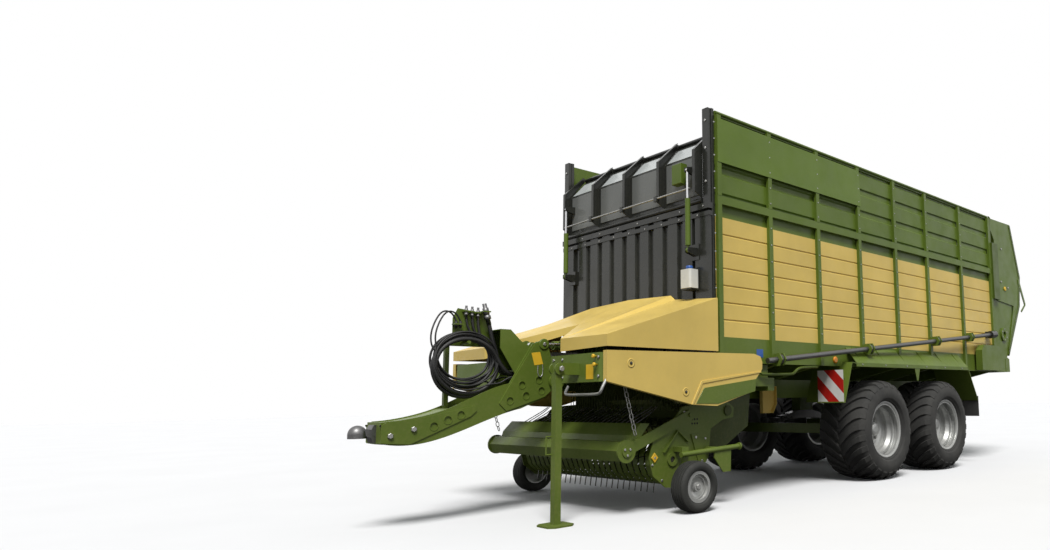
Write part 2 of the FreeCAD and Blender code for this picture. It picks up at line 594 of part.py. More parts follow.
# ---------------------------------------------------------------- front flap, turning about the crossbar
FLAP_THICK = 5.0
FLAP_BEND_Z = FLAP_HINGE_Z + 428.0
FLAP_TOP_Z = FLAP_HINGE_Z + 658.0
FLAP_TOP_Y = FLAP_HINGE_Y + 210.0
FLAP_RIB_DEEP = 92.0
FLAP_RIBS = 5
skin = prism("x", [(FLAP_HINGE_Y, FLAP_HINGE_Z + 22), (FLAP_HINGE_Y, FLAP_BEND_Z), (FLAP_TOP_Y, FLAP_TOP_Z),
                   (FLAP_TOP_Y + 4, FLAP_TOP_Z - 5), (FLAP_HINGE_Y + FLAP_THICK, FLAP_BEND_Z - 3),
                   (FLAP_HINGE_Y + FLAP_THICK, FLAP_HINGE_Z + 22)], -FLAP_HALF, FLAP_HALF)
rib_line = [(FLAP_HINGE_Y, FLAP_HINGE_Z + 22), (FLAP_HINGE_Y - FLAP_RIB_DEEP, FLAP_HINGE_Z + 70),
            (FLAP_HINGE_Y - FLAP_RIB_DEEP, FLAP_BEND_Z + 22), (FLAP_TOP_Y - 62, FLAP_TOP_Z + 24),
            (FLAP_TOP_Y - 6, FLAP_TOP_Z + 18), (FLAP_HINGE_Y + 3, FLAP_BEND_Z)]
flap_pieces = [skin]
for i in range(FLAP_RIBS):
    x = -FLAP_HALF + 4 + i * (2 * FLAP_HALF - 8) / (FLAP_RIBS - 1)
    flap_pieces.append(prism("x", rib_line, x - 4, x + 4))
    flange = 30.0 if i < FLAP_RIBS - 1 else -30.0
    lo, hi = sorted((x, x + flange))
    flap_pieces.append(prism("x", [(FLAP_HINGE_Y - FLAP_RIB_DEEP, FLAP_HINGE_Z + 70),
                                   (FLAP_HINGE_Y - FLAP_RIB_DEEP, FLAP_BEND_Z + 22),
                                   (FLAP_TOP_Y - 62, FLAP_TOP_Z + 24), (FLAP_TOP_Y - 58, FLAP_TOP_Z + 19),
                                   (FLAP_HINGE_Y - FLAP_RIB_DEEP + 6, FLAP_BEND_Z + 19),
                                   (FLAP_HINGE_Y - FLAP_RIB_DEEP + 6, FLAP_HINGE_Z + 70)], lo, hi))
for y, z, r in ((FLAP_TOP_Y - 12, FLAP_TOP_Z + 4, 20), (FLAP_HINGE_Y, FLAP_HINGE_Z, 24)):
    flap_pieces.append(rod((-FLAP_HALF, y, z), (FLAP_HALF, y, z), r))
for x in (-FLAP_EYE_X, FLAP_EYE_X):
    for side in (-1, 1):
        lo, hi = sorted((x + side * (EYE_HALF + EYE_GAP), x + side * (EYE_HALF + EYE_GAP + LUG_THICK)))
        flap_pieces.append(prism("x", [(FLAP_HINGE_Y, FLAP_EYE_Z - 40), (FLAP_EYE_Y - 20, FLAP_EYE_Z - 20),
                                       (FLAP_EYE_Y - 20, FLAP_EYE_Z + 20), (FLAP_HINGE_Y, FLAP_EYE_Z + 40)],
                                       lo, hi))
        head_x = x + side * (EYE_HALF + EYE_GAP + LUG_THICK)
        flap_pieces.append(rod((head_x - side, FLAP_EYE_Y, FLAP_EYE_Z),
                               (head_x + 4 * side, FLAP_EYE_Y, FLAP_EYE_Z), 12))
save("front_flap", fuse(flap_pieces))

# ---------------------------------------------------------------- head frame with the drawbar's lugs
ARM_X = SIDE_X + PLATE + 4.0     # inner faces of the crop press's arms
CHAIN_X = ARM_X + 60.0
CHAIN_TOP = (-905.0, 1040.0)
CHAIN_LOW = (-790.0, 625.0)
CHAIN_PIN_R = 4.0
LINK_LONG = 52.0
LINK_WIDE = 34.0
LINK_BAR = 5.0
LINK_CORNER = 11.0
LINK_COUNT = 10
HEAD_REAR_Y = -860.0        # front face of the rear cross beam
HEAD_BACK = -60.0           # rear end of the head's long beams
CROSS_BOTTOM = HEAD_BOTTOM + 55.0
NECK_BOTTOM = HEAD_TOP - 65.0        # underside of the gearbox's neck
LUG_R = 68.0
DOUBLER = 8.0               # plates that stiffen the drawbar's cheeks
head = [prism("z", [(HEAD_GAP, HEAD_FRONT), (HEAD_HALF - 25, HEAD_FRONT), (HEAD_HALF, HEAD_FRONT + 25),
                    (HEAD_HALF, HEAD_FRONT + HEAD_DEEP), (HEAD_GAP, HEAD_FRONT + HEAD_DEEP)], HEAD_BOTTOM,
                    HEAD_TOP),
        box(HEAD_GAP, HEAD_GAP + 90, HEAD_FRONT + 20, HEAD_REAR_Y + 40, HEAD_BOTTOM + 20, HEAD_TOP - 20),
        box(HEAD_HALF - 70, HEAD_HALF - 10, HEAD_FRONT + 40, HEAD_BACK, HEAD_BOTTOM + 60, HEAD_TOP - 10),
        box(0, HEAD_HALF - 20, HEAD_REAR_Y, HEAD_REAR_Y + 110, CROSS_BOTTOM, NECK_BOTTOM),
        box(BEAM_IN, BEAM_OUT, HEAD_REAR_Y + 50, HEAD_BACK, CROSS_BOTTOM, NECK_BOTTOM),
        box(0, HEAD_HALF - 20, HEAD_BACK - 46, -6, CROSS_BOTTOM, WALL_BOTTOM),
        box(RAIL_X - RAIL_WIDE / 2, RAIL_X + RAIL_WIDE / 2, HEAD_BACK - 46, FRONT_BEAM_Y, FRAME_TOP - 80,
            WALL_BOTTOM)]

chain_vector = V(0, CHAIN_LOW[0] - CHAIN_TOP[0], CHAIN_LOW[1] - CHAIN_TOP[1])
# from the chain's top end to the inner side of its first link's bar
first_bar = chain_vector.Length / LINK_COUNT / 2 - LINK_LONG / 2 + LINK_BAR
pin_place = V(0, *CHAIN_TOP) + V(chain_vector).normalize() * (first_bar + CHAIN_PIN_R + 0.3)
head.append(rod((CHAIN_X - 14, pin_place.y, pin_place.z), (HEAD_HALF - 60, pin_place.y, pin_place.z),
                CHAIN_PIN_R))
head.append(box(HEAD_HALF - 70, HEAD_HALF - 60, CHAIN_TOP[0] - 25, CHAIN_TOP[0] + 25, CHAIN_TOP[1] - 20,
                HEAD_BOTTOM + 62))

lug_x = DRAWBAR_HALF + DOUBLER + 5.0
head.append(prism("x", [(HEAD_REAR_Y + 1, CROSS_BOTTOM), (DRAWBAR_PIVOT_Y, DRAWBAR_PIVOT_Z - LUG_R),
                        (DRAWBAR_PIVOT_Y, DRAWBAR_PIVOT_Z + LUG_R), (HEAD_REAR_Y + 1, NECK_BOTTOM)], lug_x,
                        lug_x + 24))
head.append(rod((lug_x, DRAWBAR_PIVOT_Y, DRAWBAR_PIVOT_Z), (lug_x + 24, DRAWBAR_PIVOT_Y, DRAWBAR_PIVOT_Z),
                LUG_R))
drawbar_pin = rod((-lug_x - 40, DRAWBAR_PIVOT_Y, DRAWBAR_PIVOT_Z),
                  (lug_x + 40, DRAWBAR_PIVOT_Y, DRAWBAR_PIVOT_Z),
                  DRAWBAR_PIN_R)

JACK_LUG_R = 44.0
JACK_PIN_R = 14.0
jack_lugs = []
for side in (-1, 1):
    x0, x1 = sorted((JACK_X + side * (JACK_SIDE / 2 + 2), JACK_X + side * (JACK_SIDE / 2 + 16)))
    jack_lugs.append(box(x0, x1, JACK_Y, HEAD_FRONT + 1, JACK_PIVOT_Z - JACK_LUG_R,
                         JACK_PIVOT_Z + JACK_LUG_R))
    jack_lugs.append(rod((x0, JACK_Y, JACK_PIVOT_Z), (x1, JACK_Y, JACK_PIVOT_Z), JACK_LUG_R))
jack_lugs.append(box(JACK_X - JACK_SIDE / 2 - 15, JACK_X + JACK_SIDE / 2 + 15, HEAD_FRONT - 50,
                     HEAD_FRONT + 1,
                     JACK_PIVOT_Z - JACK_LUG_R, JACK_PIVOT_Z + JACK_LUG_R))
jack_lugs.append(rod((JACK_X - 58, JACK_Y, JACK_PIVOT_Z), (JACK_X + 58, JACK_Y, JACK_PIVOT_Z), JACK_PIN_R))
head_pieces = [drawbar_pin] + jack_lugs

# gearbox and its stub for the drive shaft
PTO_R = 17.5
PTO_LONG = 80.0
PTO_FACE = HEAD_REAR_Y - 48.0
PTO_Z = NECK_BOTTOM + 65.0
gearbox = [box(-70, 70, PTO_FACE, HEAD_REAR_Y + 200, NECK_BOTTOM, NECK_BOTTOM + 130),
           box(-110, 110, HEAD_REAR_Y + 110, HEAD_REAR_Y + 330, NECK_BOTTOM - 125, NECK_BOTTOM + 130),
           rod((0, PTO_FACE - 8, PTO_Z), (0, PTO_FACE + 5, PTO_Z), 62),
           rod((0, PTO_FACE - 8 - PTO_LONG, PTO_Z), (0, PTO_FACE, PTO_Z), PTO_R)]
save("gearbox", fuse(gearbox))

# ---------------------------------------------------------------- drawbar
CYL_X = 62.0                # middle of a drawbar cylinder
CYL_EYE_HALF = 16.0
CHEEK = 12.0
CHEEK_IN = DRAWBAR_HALF - CHEEK
NOSE_Y = -HITCH_REACH + 171.0
DECK = 14.0
DECK_DROP = 46.0            # the deck lies this deep between the cheeks under the hoses
bend_y, bend_z = EAR_Y - 305.0, EAR_Z - 328.0      # where the cheek's edge turns up to the cylinders
nose_top_y, nose_top_z = NOSE_Y + 32.0, HITCH_Z + 84.0


def on_deck(share, sag):
    """A point of the drawbar's upper edge between the bend and the nose, sag below the straight line."""
    return (bend_y + share * (nose_top_y - bend_y), bend_z + share * (nose_top_z - bend_z) - sag)


def lowered(points, drop):
    return [(y, z - drop) for y, z in points]


upper_edge = [(nose_top_y, nose_top_z), on_deck(0.74, 42), on_deck(0.505, 45), on_deck(0.276, 14),
              (bend_y, bend_z)]
lower_edge = [(NOSE_Y, HITCH_Z - 70), (NOSE_Y + 203, HITCH_Z - 90),
              (DRAWBAR_PIVOT_Y - 583, DRAWBAR_PIVOT_Z - 294),
              (DRAWBAR_PIVOT_Y - 316, DRAWBAR_PIVOT_Z - 219)]
rear_edge = [(DRAWBAR_PIVOT_Y - 101, DRAWBAR_PIVOT_Z - 135), (DRAWBAR_PIVOT_Y - 30, DRAWBAR_PIVOT_Z - 77),
             (DRAWBAR_PIVOT_Y - 5, DRAWBAR_PIVOT_Z + 88), (EAR_Y + 50, EAR_Z - 13),
             (EAR_Y + 15, EAR_Z + 30),
             (EAR_Y - 20, EAR_Z + 30), (EAR_Y - 102, EAR_Z - 1)]
cheek = [curved_prism(lower_edge, upper_edge, CHEEK_IN, DRAWBAR_HALF),
         prism("x", [lower_edge[-1]] + rear_edge + [(bend_y, bend_z)], CHEEK_IN, DRAWBAR_HALF)]
pivot_eye = rod((CHEEK_IN, DRAWBAR_PIVOT_Y, DRAWBAR_PIVOT_Z), (DRAWBAR_HALF + DOUBLER, DRAWBAR_PIVOT_Y,
                                                               DRAWBAR_PIVOT_Z),
                LUG_R - 4)
deck_split = upper_edge[2][0]            # the deck is higher in front of this place
keel_end = [lower_edge[-1], rear_edge[0]]
DECK_HIGH = 8.0             # from the cheeks' upper edge down to the deck's front part
KEEL_RISE = 6.0             # from the cheeks' lower edge up to the keel
INSIDE = CHEEK_IN + 1.0
front_deck = curved_prism(lowered(upper_edge, DECK_HIGH + DECK), lowered(upper_edge, DECK_HIGH), -INSIDE, INSIDE)
front_deck = front_deck.common(box(-INSIDE, INSIDE, NOSE_Y - 50, deck_split, 0, BODY_TOP))
rear_deck = curved_prism(lowered(upper_edge, DECK_DROP + DECK), lowered(upper_edge, DECK_DROP), -INSIDE, INSIDE)
rear_deck = rear_deck.common(box(-INSIDE, INSIDE, deck_split, bend_y, 0, BODY_TOP))
deck_step = box(-INSIDE, INSIDE, deck_split - DECK, deck_split + 1, upper_edge[2][1] - DECK_DROP - DECK,
                upper_edge[2][1] - DECK_HIGH - 3)
keel = curved_prism(lowered(lower_edge, -KEEL_RISE), lowered(lower_edge, -KEEL_RISE - DECK), -INSIDE, INSIDE)
rear_keel = prism("x", lowered(keel_end, -KEEL_RISE) + lowered(keel_end[::-1], -KEEL_RISE - DECK), -INSIDE, INSIDE)
nose = box(-CHEEK_IN - 1, CHEEK_IN + 1, NOSE_Y, NOSE_Y + 34, HITCH_Z - 70, HITCH_Z + 80)

RECESS_R = 30.0
rear_doubler = [(DRAWBAR_PIVOT_Y - 510, DRAWBAR_PIVOT_Z - 175), (bend_y + 12, bend_z + 4),
                (EAR_Y - 85, EAR_Z - 4),
                (EAR_Y - 20, EAR_Z + 22), (EAR_Y + 12, EAR_Z + 22), (EAR_Y + 42, EAR_Z - 20),
                (DRAWBAR_PIVOT_Y - 14, DRAWBAR_PIVOT_Z + 88), (DRAWBAR_PIVOT_Y - 36, DRAWBAR_PIVOT_Z - 74),
                (DRAWBAR_PIVOT_Y - 101, DRAWBAR_PIVOT_Z - 126),
                (DRAWBAR_PIVOT_Y - 446, DRAWBAR_PIVOT_Z - 236)]
rear_recesses = [(DRAWBAR_PIVOT_Y - y, DRAWBAR_PIVOT_Z - z)
                 for y, z in ((311, 28), (417, 154), (273, 115), (156, -14), (131, 75))]
front_doubler = [(NOSE_Y, HITCH_Z - 66), (NOSE_Y + 203, HITCH_Z - 84), (NOSE_Y + 658, HITCH_Z + 103),
                 (NOSE_Y + 709, HITCH_Z + 146), (NOSE_Y + 700, HITCH_Z + 184),
                 (NOSE_Y + 290, HITCH_Z + 104),
                 (nose_top_y, nose_top_z - 6), (NOSE_Y, nose_top_z - 26)]
front_recesses = [(NOSE_Y + y, HITCH_Z + z) for y, z in ((374, 39), (479, 82), (580, 117))]
doublers = []
for outline, recesses in ((rear_doubler, rear_recesses), (front_doubler, front_recesses)):
    plate = prism("x", outline, DRAWBAR_HALF - 1, DRAWBAR_HALF + DOUBLER)
    for y, z in recesses:
        plate = plate.cut(rod((DRAWBAR_HALF, y, z), (DRAWBAR_HALF + DOUBLER + 1, y, z), RECESS_R))
    doublers.append(plate)

ear_lugs = []
for x in (-CYL_X, CYL_X):
    for x0 in (x - CYL_EYE_HALF - EYE_GAP - 12, x + CYL_EYE_HALF + EYE_GAP):
        ear_lugs.append(prism("x", [(EAR_Y - 40, EAR_Z - 60), (EAR_Y + 24, EAR_Z - 60),
                                    (EAR_Y + 30, EAR_Z + 6),
                                    (EAR_Y + 12, EAR_Z + 27), (EAR_Y - 14, EAR_Z + 27),
                                    (EAR_Y - 44, EAR_Z - 10)],
                              x0, x0 + 12))
ear_beam = box(-CHEEK_IN - 1, CHEEK_IN + 1, EAR_Y - 40, EAR_Y + 10, EAR_Z - 78, EAR_Z - 52)

# guard over the drive shaft between the cheeks: two sides and a sloping roof
hump = [(-1430, 1330), (-1430, 1484), (-1340, 1484), (-1240, 1390), (-1110, 1330)]
hump_side = prism("x", hump + [(-1110, 1130), (-1300, 1130)], CHEEK_IN - SHEET, CHEEK_IN + 1)
roof_line = hump[1:]
roof = prism("x", roof_line + lowered(roof_line[::-1], SHEET), -CHEEK_IN, CHEEK_IN)
hose_clamp = box(-CHEEK_IN - 1, CHEEK_IN + 1, -1262, -1232, 1085, 1160)

# hoses hang in loose turns over a hook; an arm and a pole carry it, a plate above takes the couplers
COIL_R = 215.0
COIL_TUBE = 46.0
COIL_FLAT = 43.0            # half of the straight stretch between the coil's round ends
COIL_X = -11.0
COIL_Y = -1668.0
COIL_Z = 1213.0
HOOK_R = 13.0
HOOK_Z = COIL_Z + COIL_R - COIL_TUBE - HOOK_R - 0.3
ARM_IN = -66.0              # side of the holder's arm towards the hoses
RACK_X = ARM_IN - 4.0       # inner face of the couplers' plate
arm_channel = box(ARM_IN - 53, ARM_IN, -1790, -1425, HOOK_Z - 20, HOOK_Z + 42)
pole = box(ARM_IN - 46, ARM_IN - 12, -1790, -1756, upper_edge[2][1] - DECK_DROP - 5, HOOK_Z - 19)
hook = rod((ARM_IN - 1, COIL_Y, HOOK_Z), (COIL_X + COIL_TUBE + 40, COIL_Y, HOOK_Z), HOOK_R)
rack_line = [(-1740, HOOK_Z + 30), (-1740, 1570), (-1700, 1650), (-1440, 1620), (-1420, HOOK_Z + 30)]
rack = prism("x", rack_line, RACK_X - SHEET, RACK_X)
arm_foot = box(ARM_IN - 53, ARM_IN - 12, -1445, -1395, HOOK_Z - 20, HOOK_Z + 42)
COUPLERS = [    # y and z of each coupler's lower end, its lean along Y, x, radius, length
    (-1468.0, 1523.0, -48.0, 0.0, 24.0, 177.0), (-1600.0, 1560.0, 0.0, -30.0, 13.0, 105.0),
    (-1550.0, 1556.0, 0.0, -30.0, 13.0, 105.0), (-1650.0, 1564.0, 0.0, -30.0, 13.0, 105.0),
    (-1695.0, 1487.0, 0.0, -30.0, 12.0, 50.0), (-1730.0, 1487.0, 0.0, -30.0, 12.0, 50.0)]
couplers, holders = [], []
for y, z, lean, x, r, long in COUPLERS:
    ends = ((x, y, z), (x, y + lean, z + long))
    step = [(b - a) / 10 for a, b in zip(*ends)]
    couplers.append(fuse([rod(ends[0], tuple(a + 4 * s for a, s in zip(ends[0], step)), 0.85 * r),
                          rod(tuple(a + 4 * s for a, s in zip(ends[0], step)), ends[1], r)]))
    z0 = z + 0.6 * long
    shelf = box(RACK_X - 1, x + r + 5, y + 0.6 * lean - r - 5, y + 0.6 * lean + r + 5, z0 - 5, z0 + 5)
    holders.append(shelf.cut(rod(tuple(a - s for a, s in zip(ends[0], step)),
                                 tuple(b + s for b, s in zip(ends[1], step)), r + 0.3)))
save("hose_couplers", couplers)
drawbar = fuse(both(fuse(cheek)) + both(pivot_eye) + both(doublers[0]) + both(doublers[1]) + both(hump_side)
               + [front_deck, rear_deck, deck_step, keel, rear_keel, nose, ear_beam, roof, hose_clamp, arm_channel,
                  arm_foot]
               + [pole, hook, rack] + ear_lugs + holders)
bore = rod((-DRAWBAR_HALF - 20, DRAWBAR_PIVOT_Y, DRAWBAR_PIVOT_Z),
           (DRAWBAR_HALF + 20, DRAWBAR_PIVOT_Y, DRAWBAR_PIVOT_Z), DRAWBAR_PIN_R + 0.5)
save("drawbar", drawbar.cut(bore))

ends = []
for side in (-1, 1):
    ring = Part.makeTorus(COIL_R, COIL_TUBE, V(COIL_X, COIL_Y + side * COIL_FLAT, COIL_Z), V(1, 0, 0))
    reach = COIL_R + COIL_TUBE + 10
    lo, hi = sorted((COIL_Y + side * COIL_FLAT, COIL_Y + side * (COIL_FLAT + reach)))
    ends.append(ring.common(box(COIL_X - reach, COIL_X + reach, lo, hi, COIL_Z - reach, COIL_Z + reach)))
spans = [rod((COIL_X, COIL_Y - COIL_FLAT, COIL_Z + s * COIL_R),
             (COIL_X, COIL_Y + COIL_FLAT, COIL_Z + s * COIL_R),
             COIL_TUBE) for s in (-1, 1)]
save("hose_coil", fuse(ends + spans))


def cord_tube(points, r):
    """Round tube along straight runs joined by arcs that touch them, each as wide as its two runs allow."""
    points = [V(*p) for p in points]
    start = points[0]
    edges = []
    for before, at, after in zip(points, points[1:], points[2:]):
        back, ahead = (before - at), (after - at)
        trim = 0.45 * min(back.Length, ahead.Length)
        back.normalize()
        ahead.normalize()
        half_turn = (pi - back.getAngle(ahead)) / 2
        print("  bend radius %.0f mm" % (trim / tan(half_turn)))
        near, far = at + back * trim, at + ahead * trim
        middle = (back + ahead).normalize()
        bulge = at + middle * (trim / tan(half_turn) * (1 / cos(half_turn) - 1))
        edges.append(Part.LineSegment(start, near).toShape())
        edges.append(Part.Arc(near, bulge, far).toShape())
        start = far
    edges.append(Part.LineSegment(start, points[-1]).toShape())
    path = Part.Wire(edges)
    section = Part.Wire(Part.makeCircle(r, points[0], points[1] - points[0]))
    return path.makePipeShell([section], True, False)



# hoses between the clamp and the coil and from the couplers down into it, and the two cables' arches
leads = []
for x, z, r, inward in ((60, 1122, 17, 42), (20, 1122, 11, 15), (-20, 1122, 11, 4), (-50, 1122, 9, 10),
                        (85, 1105, 6.5, 60), (-85, 1105, 6.5, -45)):
    leads.append(cord_tube([(x, -1240, z), (x, -1300, z), (x - inward, -1440, z + 8)], r))
y, z, lean, x, r, long = COUPLERS[0]
leads.append(cord_tube([(x, y, z), (x, y - 60 * lean / long, z - 60),
                        (x - 8, y - 60 * lean / long + 2, z - 182)], 17))
for y, z, lean, x, r, long in COUPLERS[1:4]:
    leads.append(rod((x, y, z), (x, y, z - 135), 11 if y != -1650 else 9))
for y, z, lean, x, r, long in COUPLERS[4:]:
    arch = [(30, y - 220, 1330), (30, y - 230, 1420), (18, y - 195, 1520), (0, y - 140, 1600),
            (-15, y - 80, 1618),
            (-27, y - 23, 1588), (x, y, z + long - 1)]
    leads.append(cord_tube(arch, 6.5))
save("hose_leads", leads)

# ball coupling: a cup open downwards on a flanged arm
CUP_R = BALL_R + 22.0
BALL_Y = -HITCH_REACH + CUP_R
arm = prism("x", [(NOSE_Y, HITCH_Z - 62), (NOSE_Y, HITCH_Z + 62), (NOSE_Y - 18, HITCH_Z + 62),
                  (NOSE_Y - 32, HITCH_Z + 30),
                  (BALL_Y + 15, HITCH_Z + 40), (BALL_Y + 15, HITCH_Z), (NOSE_Y - 32, HITCH_Z - 30),
                  (NOSE_Y - 18, HITCH_Z - 62)], -48, 48)
SKIRT = 30.0                # straight length of the cup below the ball's middle
dome = Part.makeSphere(CUP_R, V(0, BALL_Y, HITCH_Z))
dome = dome.cut(box(-CUP_R - 1, CUP_R + 1, BALL_Y - CUP_R - 1, BALL_Y + CUP_R + 1, HITCH_Z - CUP_R - 1,
                    HITCH_Z))
cup = fuse([arm, dome, rod((0, BALL_Y, HITCH_Z - SKIRT), (0, BALL_Y, HITCH_Z), CUP_R)])
cup = cup.cut(Part.makeSphere(BALL_R, V(0, BALL_Y, HITCH_Z)))
cup = cup.cut(rod((0, BALL_Y, HITCH_Z - SKIRT - 1), (0, BALL_Y, HITCH_Z), BALL_R))
save("hitch_cup", cup)

# drawbar cylinders
CYL_FOOT_Y = -430.0
CYL_FOOT_Z = HEAD_TOP + 150.0
barrels, rods, feet = [], [], []
for x in (-CYL_X, CYL_X):
    step_y, step_z = EAR_Y - CYL_FOOT_Y, EAR_Z - CYL_FOOT_Z
    long = hypot(step_y, step_z)
    at = lambda d: (x, CYL_FOOT_Y + step_y * d / long, CYL_FOOT_Z + step_z * d / long)
    barrels.append(fuse([tube(at(70), at(400), 38, 30), rod(at(60), at(80), 38), rod(at(20), at(62), 15),
                         tube((x - 16, CYL_FOOT_Y, CYL_FOOT_Z), (x + 16, CYL_FOOT_Y, CYL_FOOT_Z), 30,
                              14.5)]))
    rods.append(fuse([rod(at(250), at(long - 20), 15), rod(at(240), at(270), 29),
                      rod((x - 16, EAR_Y, EAR_Z), (x + 16, EAR_Y, EAR_Z), 27)]))
for x in (-CYL_X - 34, -CYL_X + 20, CYL_X - 34, CYL_X + 20):
    feet.append(prism("x", [(CYL_FOOT_Y - 70, HEAD_TOP + 40), (CYL_FOOT_Y + 60, HEAD_TOP + 40),
                            (CYL_FOOT_Y + 24, CYL_FOOT_Z + 22), (CYL_FOOT_Y - 24, CYL_FOOT_Z + 22)], x,
                            x + 14))
feet.append(rod((-CYL_X - 34, CYL_FOOT_Y, CYL_FOOT_Z), (CYL_X + 34, CYL_FOOT_Y, CYL_FOOT_Z), 14))
feet.append(box(-110, 110, CYL_FOOT_Y - 75, CYL_FOOT_Y + 70, HEAD_TOP - 20, HEAD_TOP + 41))
feet.append(box(-BEAM_OUT, BEAM_OUT, CYL_FOOT_Y - 60, CYL_FOOT_Y + 60, NECK_BOTTOM - 20, HEAD_TOP - 19))
save("drawbar_barrels", barrels)
save("drawbar_rods", rods)
head_pieces += feet

# ---------------------------------------------------------------- parking stand
stand = [box(JACK_X - JACK_SIDE / 2, JACK_X + JACK_SIDE / 2, JACK_Y - JACK_SIDE / 2, JACK_Y + JACK_SIDE / 2,
             12, JACK_PIVOT_Z + 45),
         prism("z", [(JACK_X - 110, JACK_Y - 70), (JACK_X - 70, JACK_Y - 110), (JACK_X + 70, JACK_Y - 110),
                     (JACK_X + 110, JACK_Y - 70), (JACK_X + 110, JACK_Y + 70), (JACK_X + 70, JACK_Y + 110),
                     (JACK_X - 70, JACK_Y + 110), (JACK_X - 110, JACK_Y + 70)], 0, 12)]
stand_solid = fuse(stand).cut(rod((JACK_X - 60, JACK_Y, JACK_PIVOT_Z), (JACK_X + 60, JACK_Y, JACK_PIVOT_Z),
                                  14.5))
grip = fuse([rod((JACK_X - 26, JACK_Y - JACK_SIDE / 2, z), (JACK_X - 26, JACK_Y - JACK_SIDE / 2 - 45, z), 5)
             for z in (510, 640)] + [rod((JACK_X - 26, JACK_Y - JACK_SIDE / 2 - 42, 508),
                                         (JACK_X - 26, JACK_Y - JACK_SIDE / 2 - 42, 642), 5)])
save("parking_stand", fuse([stand_solid, grip]))

# ---------------------------------------------------------------- feed channel and rotor
cheek_line = [(-12, 470), (330, 470), (640, 640), (720, FLOOR_TOP - FLOOR_THICK - 1), (4, WALL_BOTTOM - 1),
              (-5, 1090),
              (-12, 1000)]
channel = [prism("x", cheek_line, CHANNEL_HALF - PLATE, CHANNEL_HALF)]
arc_out = ring_points((ROTOR_Y, ROTOR_Z), TROUGH_R + 5, 9, -150, 150)
arc_in = ring_points((ROTOR_Y, ROTOR_Z), TROUGH_R, 9, -150, 150)
trough = prism("x", arc_out + [(FLOOR_FRONT - 1, FLOOR_TOP - FLOOR_THICK),
                               (FLOOR_FRONT - 7, FLOOR_TOP - FLOOR_THICK)]
               + arc_in[::-1], -CHANNEL_HALF + 1, CHANNEL_HALF - 1)
apron = prism("x", [(-5, WALL_BOTTOM - 1), (-1, WALL_BOTTOM - 1), (40, 1060), (36, 1060)],
              -CHANNEL_HALF + 1,
              CHANNEL_HALF - 1)
stub = [rod((CHANNEL_HALF - 1, ROTOR_Y, ROTOR_Z), (SIDE_X + PLATE + 12, ROTOR_Y, ROTOR_Z), 45)]
hangers = [box(CHANNEL_HALF - 1, RAIL_X - RAIL_WIDE / 2, y, y + 50, FRAME_TOP - 80,
               WALL_BOTTOM - 20) for y in (60, 560)]
SHAFT_END = CHANNEL_HALF + 40.0
ROTOR_SHAFT_R = 30.0
seat_bore = rod((-SHAFT_END, ROTOR_Y, ROTOR_Z), (SHAFT_END, ROTOR_Y, ROTOR_Z), ROTOR_SHAFT_R + RUN_CLEAR)
save("feed_channel", fuse([both_fused(channel + stub + hangers), trough, apron]).cut(seat_bore))

ROTOR_HALF = CHANNEL_HALF - PLATE - 6
drum = polygon_bar((-ROTOR_HALF, ROTOR_Y, ROTOR_Z), (ROTOR_HALF, ROTOR_Y, ROTOR_Z), 110, 10)
tines = []
ROTOR_STARS = 15
for i in range(ROTOR_STARS):
    x = -ROTOR_HALF + 60 + i * (2 * ROTOR_HALF - 120) / (ROTOR_STARS - 1)
    for k in range(3):
        a = 2 * pi * (k / 3.0 + i / 24.0)
        tip = (ROTOR_Y + ROTOR_R * cos(a), ROTOR_Z + ROTOR_R * sin(a))
        one = [(ROTOR_Y + 100 * cos(a - 0.35), ROTOR_Z + 100 * sin(a - 0.35)), tip,
               (ROTOR_Y + 100 * cos(a + 0.45), ROTOR_Z + 100 * sin(a + 0.45))]
        tines.append(prism("x", one, x - 6, x + 6))
rotor_shaft = rod((-SHAFT_END + 3, ROTOR_Y, ROTOR_Z), (SHAFT_END - 3, ROTOR_Y, ROTOR_Z), ROTOR_SHAFT_R)
save("feed_rotor", fuse([drum, rotor_shaft] + tines))

# ---------------------------------------------------------------- pick-up
side_line = [(-560, 560), (-600, 430), (-560, 290), (-430, 190), (-250, 170), (-60, 260), (60, 400),
             (90, 640),
             (ROTOR_Y - 60, ROTOR_Z - 80), (ROTOR_Y + 75, ROTOR_Z - 60), (ROTOR_Y + 85, ROTOR_Z + 25),
             (ROTOR_Y, ROTOR_Z + 80), (-100, 850), (-240, 830), (-380, 690)]
side = prism("x", side_line, SIDE_X, SIDE_X + PLATE)
for y in (-130, -100, -70):
    for z in (690, 725):
        side = side.cut(rod((SIDE_X - 1, y, z), (SIDE_X + PLATE + 1, y, z), 9))
side = side.cut(rod((SIDE_X - 1, ROTOR_Y, ROTOR_Z), (SIDE_X + PLATE + 1, ROTOR_Y, ROTOR_Z), 45.5))
cross_tube = box(-SIDE_X, SIDE_X, -40, 20, 330, 400)
arm_x = GAUGE_X - GAUGE_WIDE / 2 - 8.0       # arm that reaches back from the gauge wheel
